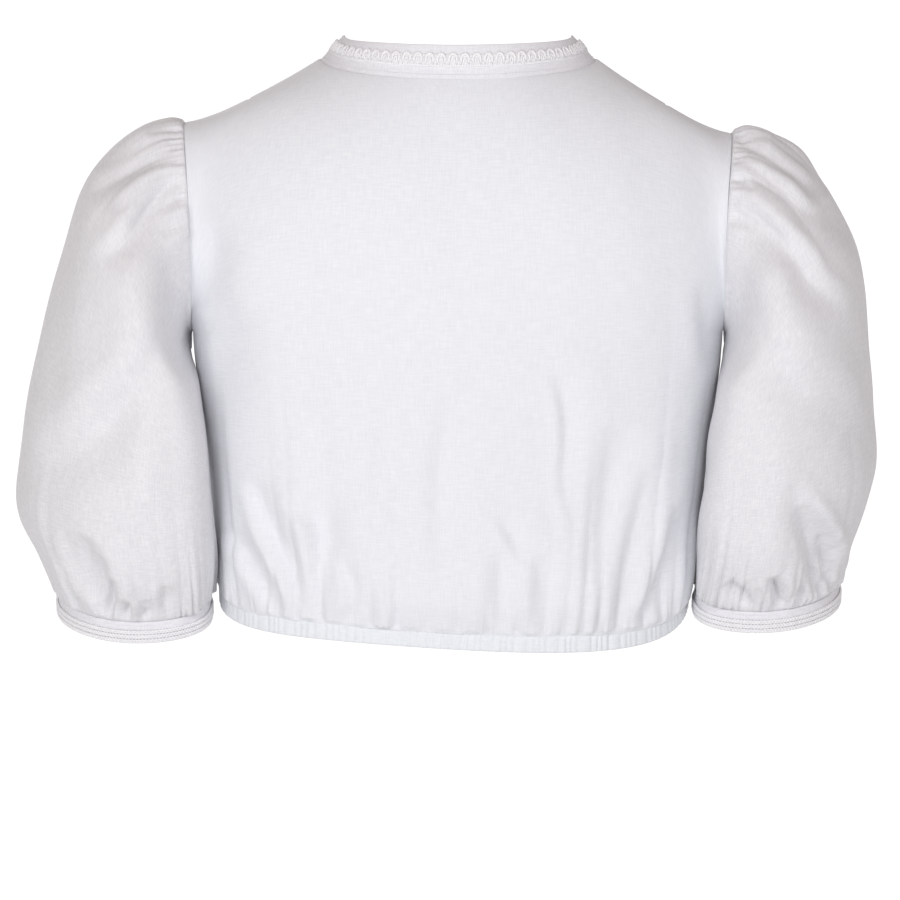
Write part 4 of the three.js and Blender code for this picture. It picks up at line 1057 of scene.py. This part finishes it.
# %% Woven cloth
def woven(name, light, dark, thread, slub_wide, slub_long, slub_share, lift, sheen=0.25):
    """A plain weave from the piece's own map, which is in metres: two sines for the threads, and two
    noises stretched along them for the slubs, mixed to one height that bumps and tints."""
    material, tree, shader = start_material(name, 0.9, sheen)
    place = add_node(tree, "ShaderNodeUVMap", {"uv_map": "weave"}).outputs["UV"]
    split = add_node(tree, "ShaderNodeSeparateXYZ", Vector=place)
    turns = 2 * pi / (thread * MM)
    sines = [maths(tree, "SINE", maths(tree, "MULTIPLY", split.outputs[axis], turns)) for axis in "XY"]
    weave = maths(tree, "MULTIPLY", *sines)
    slubs = []
    for wide, long in ((slub_wide, slub_long), (slub_long, slub_wide)):
        threads = (1 / wide / MM, 1 / long / MM, 1.0)
        scaled = add_node(tree, "ShaderNodeMapping", Vector=place, Scale=threads)
        noise = add_node(tree, "ShaderNodeTexNoise", {"noise_dimensions": "2D"}, Vector=scaled.outputs[0],
                         Scale=1.0, Detail=2.0, Roughness=0.6)
        slubs.append(noise.outputs[0])
    height = maths(tree, "MULTIPLY_ADD", weave, 0.5 * (1 - slub_share), maths(tree, "ADD", *slubs))
    tint_and_bump(tree, shader, height, 0.6, 1.4, light, dark, lift)
    return material

# %% Twisted cord
def cord_material(name, light, dark, pitch):
    """Braid cord from Object coordinates: fine noise for the fibres and small bumps for the twist."""
    material, tree, shader = start_material(name, 0.85, 0.3)
    place = add_node(tree, "ShaderNodeTexCoord").outputs["Object"]
    twist = add_node(tree, "ShaderNodeTexVoronoi", Vector=place, Scale=1 / (pitch * MM))
    fibres = add_node(tree, "ShaderNodeTexNoise", Vector=place, Scale=1 / (0.8 * MM), Detail=2.0)
    height = maths(tree, "SUBTRACT", fibres.outputs[0], twist.outputs["Distance"])
    tint_and_bump(tree, shader, height, -0.5, 0.5, light, dark, 0.25)
    return material


# Each weave: light and dark colour, thread pitch, slub width and length, share of the slubs, lift, sheen
# Fine plain weave: reads as smooth white with a faint grain
body_cotton = woven("bleached_cotton_batiste", "#e9ebef", "#dee0e6", 1.1, 0.9, 11.0, 0.75, 0.08)
# Coarser weave with thick and thin threads: greyer, with visible short lines both ways
sleeve_cotton = woven("bleached_cotton_slub", "#e8e8eb", "#d8d8dd", 1.3, 1.0, 8.0, 0.8, 0.16)
# Double cloth, pressed flat: whiter and denser
band_cotton = woven("bleached_cotton_double", "#e8e8ec", "#dadae0", 1.2, 0.9, 6.0, 0.7, 0.10)
# The casing's cloth is drawn together, so its threads crowd; a little bluer
hem_cotton = woven("bleached_cotton_gathered", "#e9ecf0", "#dce0e6", 0.9, 0.8, 7.0, 0.7, 0.10)
# Woven label tape, smooth and a little grey
label_tape = woven("woven_label_tape", "#c8ced8", "#bcc2ce", 0.8, 0.7, 5.0, 0.6, 0.05, 0.1)
tab_tape = woven("printed_tab_tape", "#e4e6eb", "#d6d9e0", 0.8, 0.7, 5.0, 0.6, 0.05, 0.1)
braid_cord = cord_material("mercerised_cotton_cord", "#f4f4f6", "#e6e6ea", 0.9)
# The tape under the cuff's cords is darker as painted shade between the cords, so that the gaps between
# them read
cuff_tape_painted_shade = woven("braid_tape", "#c9c9d0", "#b9b9c2", 0.8, 0.7, 5.0, 0.6, 0.05, 0.1)
stitch_thread = cord_material("white_sewing_thread", "#ececef", "#d2d2da", 0.5)

# %% [markdown]
# ## Dressing the frame
# Every piece rides on the blouse's one body and takes its material, and the solids of the model that it
# stands for are hidden.

# %% Dress the pieces
FINISHES = [
    # first words of the pieces' names, material, slot
    ("blouse_sleeve", sleeve_cotton, "sleeve_cloth"),
    (("blouse_", "princess_", "side_", "shoulder_"), body_cotton, "body_cloth"),
    (("neck_band_cloth", "cuff_cloth"), band_cotton, "band_cloth"),
    # The cuff braid's tape carries painted shade: its darker colour stands for the shade between the
    # cords.
    ("cuff_braid_tape", cuff_tape_painted_shade, "braid"),
    (("neck_braid", "cuff_braid"), braid_cord, "braid"),
    (("neck_band_topstitch", "cuff_topstitch"), stitch_thread, "band_cloth"),
    ("hem_casing", hem_cotton, "hem_cloth"),
    ("neck_label", label_tape, "label"),
    ("care_label", tab_tape, "label"),
]
STANDS_FOR = {
    "blouse_back": "back",
    "blouse_front_centre": "front_centre",
    "neck_band_cloth": "neck_band",
    "neck_braid_arches": "neck_braid",
    "neck_label_cloth": "neck_label",
    "care_label_cloth": "care_label",
    "hem_casing_cloth": "hem_casing",
}
for _, side in SIDES:
    for piece, node in (("blouse_front_side", "front_side"), ("blouse_sleeve", "sleeve"),
                        ("cuff_cloth", "cuff"), ("cuff_braid_tape", "cuff_braid")):
        STANDS_FOR[f"{piece}_{side}"] = f"{node}_{side}"
for name, piece in made.items():
    for first_words, material, slot in FINISHES:
        if name.startswith(first_words):
            piece.data.materials.append(material)
            break
    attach(piece, "root")
    if name in STANDS_FOR:
        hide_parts(STANDS_FOR[name])
print(len(made), "pieces dressed")

# %% [markdown]
# ## The cut sizes
# The panels are wider than what they cover, because the gathers take up the rest. Strips are given as
# they are once folded double.

# %% [markdown]
# ## A light tent
# White cloth on white is photographed in a tent: a pale floor that curves up into walls, all of it
# glowing softly. It glows less beneath the blouse and beside it, which leaves the shaded edges that give
# the cloth its roundness. The sky above is a warm grey, and so are the shoulders, which face it. Two soft
# lamps behind the blouse, high up and from both sides, lift the folds, and one lights its front.

# %% Floor and walls
def bowl(radius, height, low, bend):
    """A round floor whose rim curves up into a wall: a profile of a line, a quarter circle and a line,
    turned round the middle."""
    quarter = np.linspace(-pi / 2, 0, 13)[1:]
    flat = radius - bend
    r = np.concatenate([np.linspace(0.05, flat, 30), flat + bend * np.cos(quarter), [radius]])[:, None]
    z = np.concatenate([np.zeros(30), bend + bend * np.sin(quarter), [height]])[:, None] + low
    turn = np.linspace(0, 2 * pi, 96, endpoint=False)
    return point(r * np.cos(turn), r * np.sin(turn), z)


tent = bowl(radius=6000.0, height=2100.0, low=-1400.0, bend=1500.0)
floor = mesh_piece("pale_floor", tent, grid_faces(*tent.shape[:2], round_u=True))
made.pop("pale_floor")
paper, paper_tree, paper_shader = start_material("pale_paper", 0.9, 0.0)
paper_shader.inputs["Base Color"].default_value = linear("#9c9c9c")
paper_shader.inputs["Emission Color"].default_value = (1.0, 1.0, 1.0, 1.0)
glow_node = add_node(paper_tree, "ShaderNodeAttribute", {"attribute_name": "glow"})
paper_tree.links.new(glow_node.outputs["Fac"], paper_shader.inputs["Emission Strength"])
floor.data.materials.append(paper)
x, y = tent[..., 0] / 1000, tent[..., 1] / 1000
beneath = 1 - smooth((np.hypot(x, y) - 2.2) / 0.8)
beside = smooth((np.abs(x) - 2.4) / 1.4) * smooth((y + 5.2) / 1.6) * smooth((4.6 - y) / 1.6)
glow = floor.data.attributes.new("glow", "FLOAT", "POINT")
glow.data.foreach_set("value", (0.38 + 0.52 * (1 - beneath) * (1 - beside)).ravel())

# %% Lamps and sky
def place_and_aim(name, data, place, aim):
    """A lamp or camera at a place, with its -Z axis towards a point and its Y axis upwards."""
    thing = bpy.data.objects.new(name, data)
    thing.location = place
    thing.rotation_euler = (Vector(aim) - thing.location).to_track_quat("-Z", "Y").to_euler()
    bpy.context.scene.collection.objects.link(thing)
    return thing


def soft_lamp(name, place, size, watts, colour):
    """A square lamp turned towards the middle of the blouse."""
    data = bpy.data.lights.new(name, "AREA")
    data.size, data.energy, data.color = size, watts, linear(colour)[:3]
    place_and_aim(name, data, place, (0, 0, -0.2))


soft_lamp("soft_lamp_left", (1.2, 2.5, 0.5), 1.0, 26.0, "#ffffff")
soft_lamp("soft_lamp_right", (-1.1, 2.6, 0.9), 1.2, 19.0, "#fbfbff")
soft_lamp("soft_lamp_front", (0.6, -2.6, 0.3), 1.6, 26.0, "#ffffff")
sky = bpy.data.worlds.new("plain_sky")
sky.use_nodes = True
sky.node_tree.nodes["Background"].inputs["Color"].default_value = linear("#f6e8e1")
sky.node_tree.nodes["Background"].inputs["Strength"].default_value = 0.39
bpy.context.scene.world = sky
bpy.context.scene.view_settings.view_transform = "Standard"

# %% [markdown]
# ## The camera
# The picture was taken from behind the blouse, a little above it, with a long lens: 2.6 m away and 8
# degrees up. A 160 mm lens on the default 36 mm sensor frames it.

# %% The camera
lens = bpy.data.cameras.new("camera")
lens.lens, lens.sensor_width, lens.clip_end = 160.0, 36.0, 60.0
bpy.context.scene.camera = place_and_aim("camera", lens, (0.0, 2.5747, 0.1718), (0.0052, 0.0, -0.255))
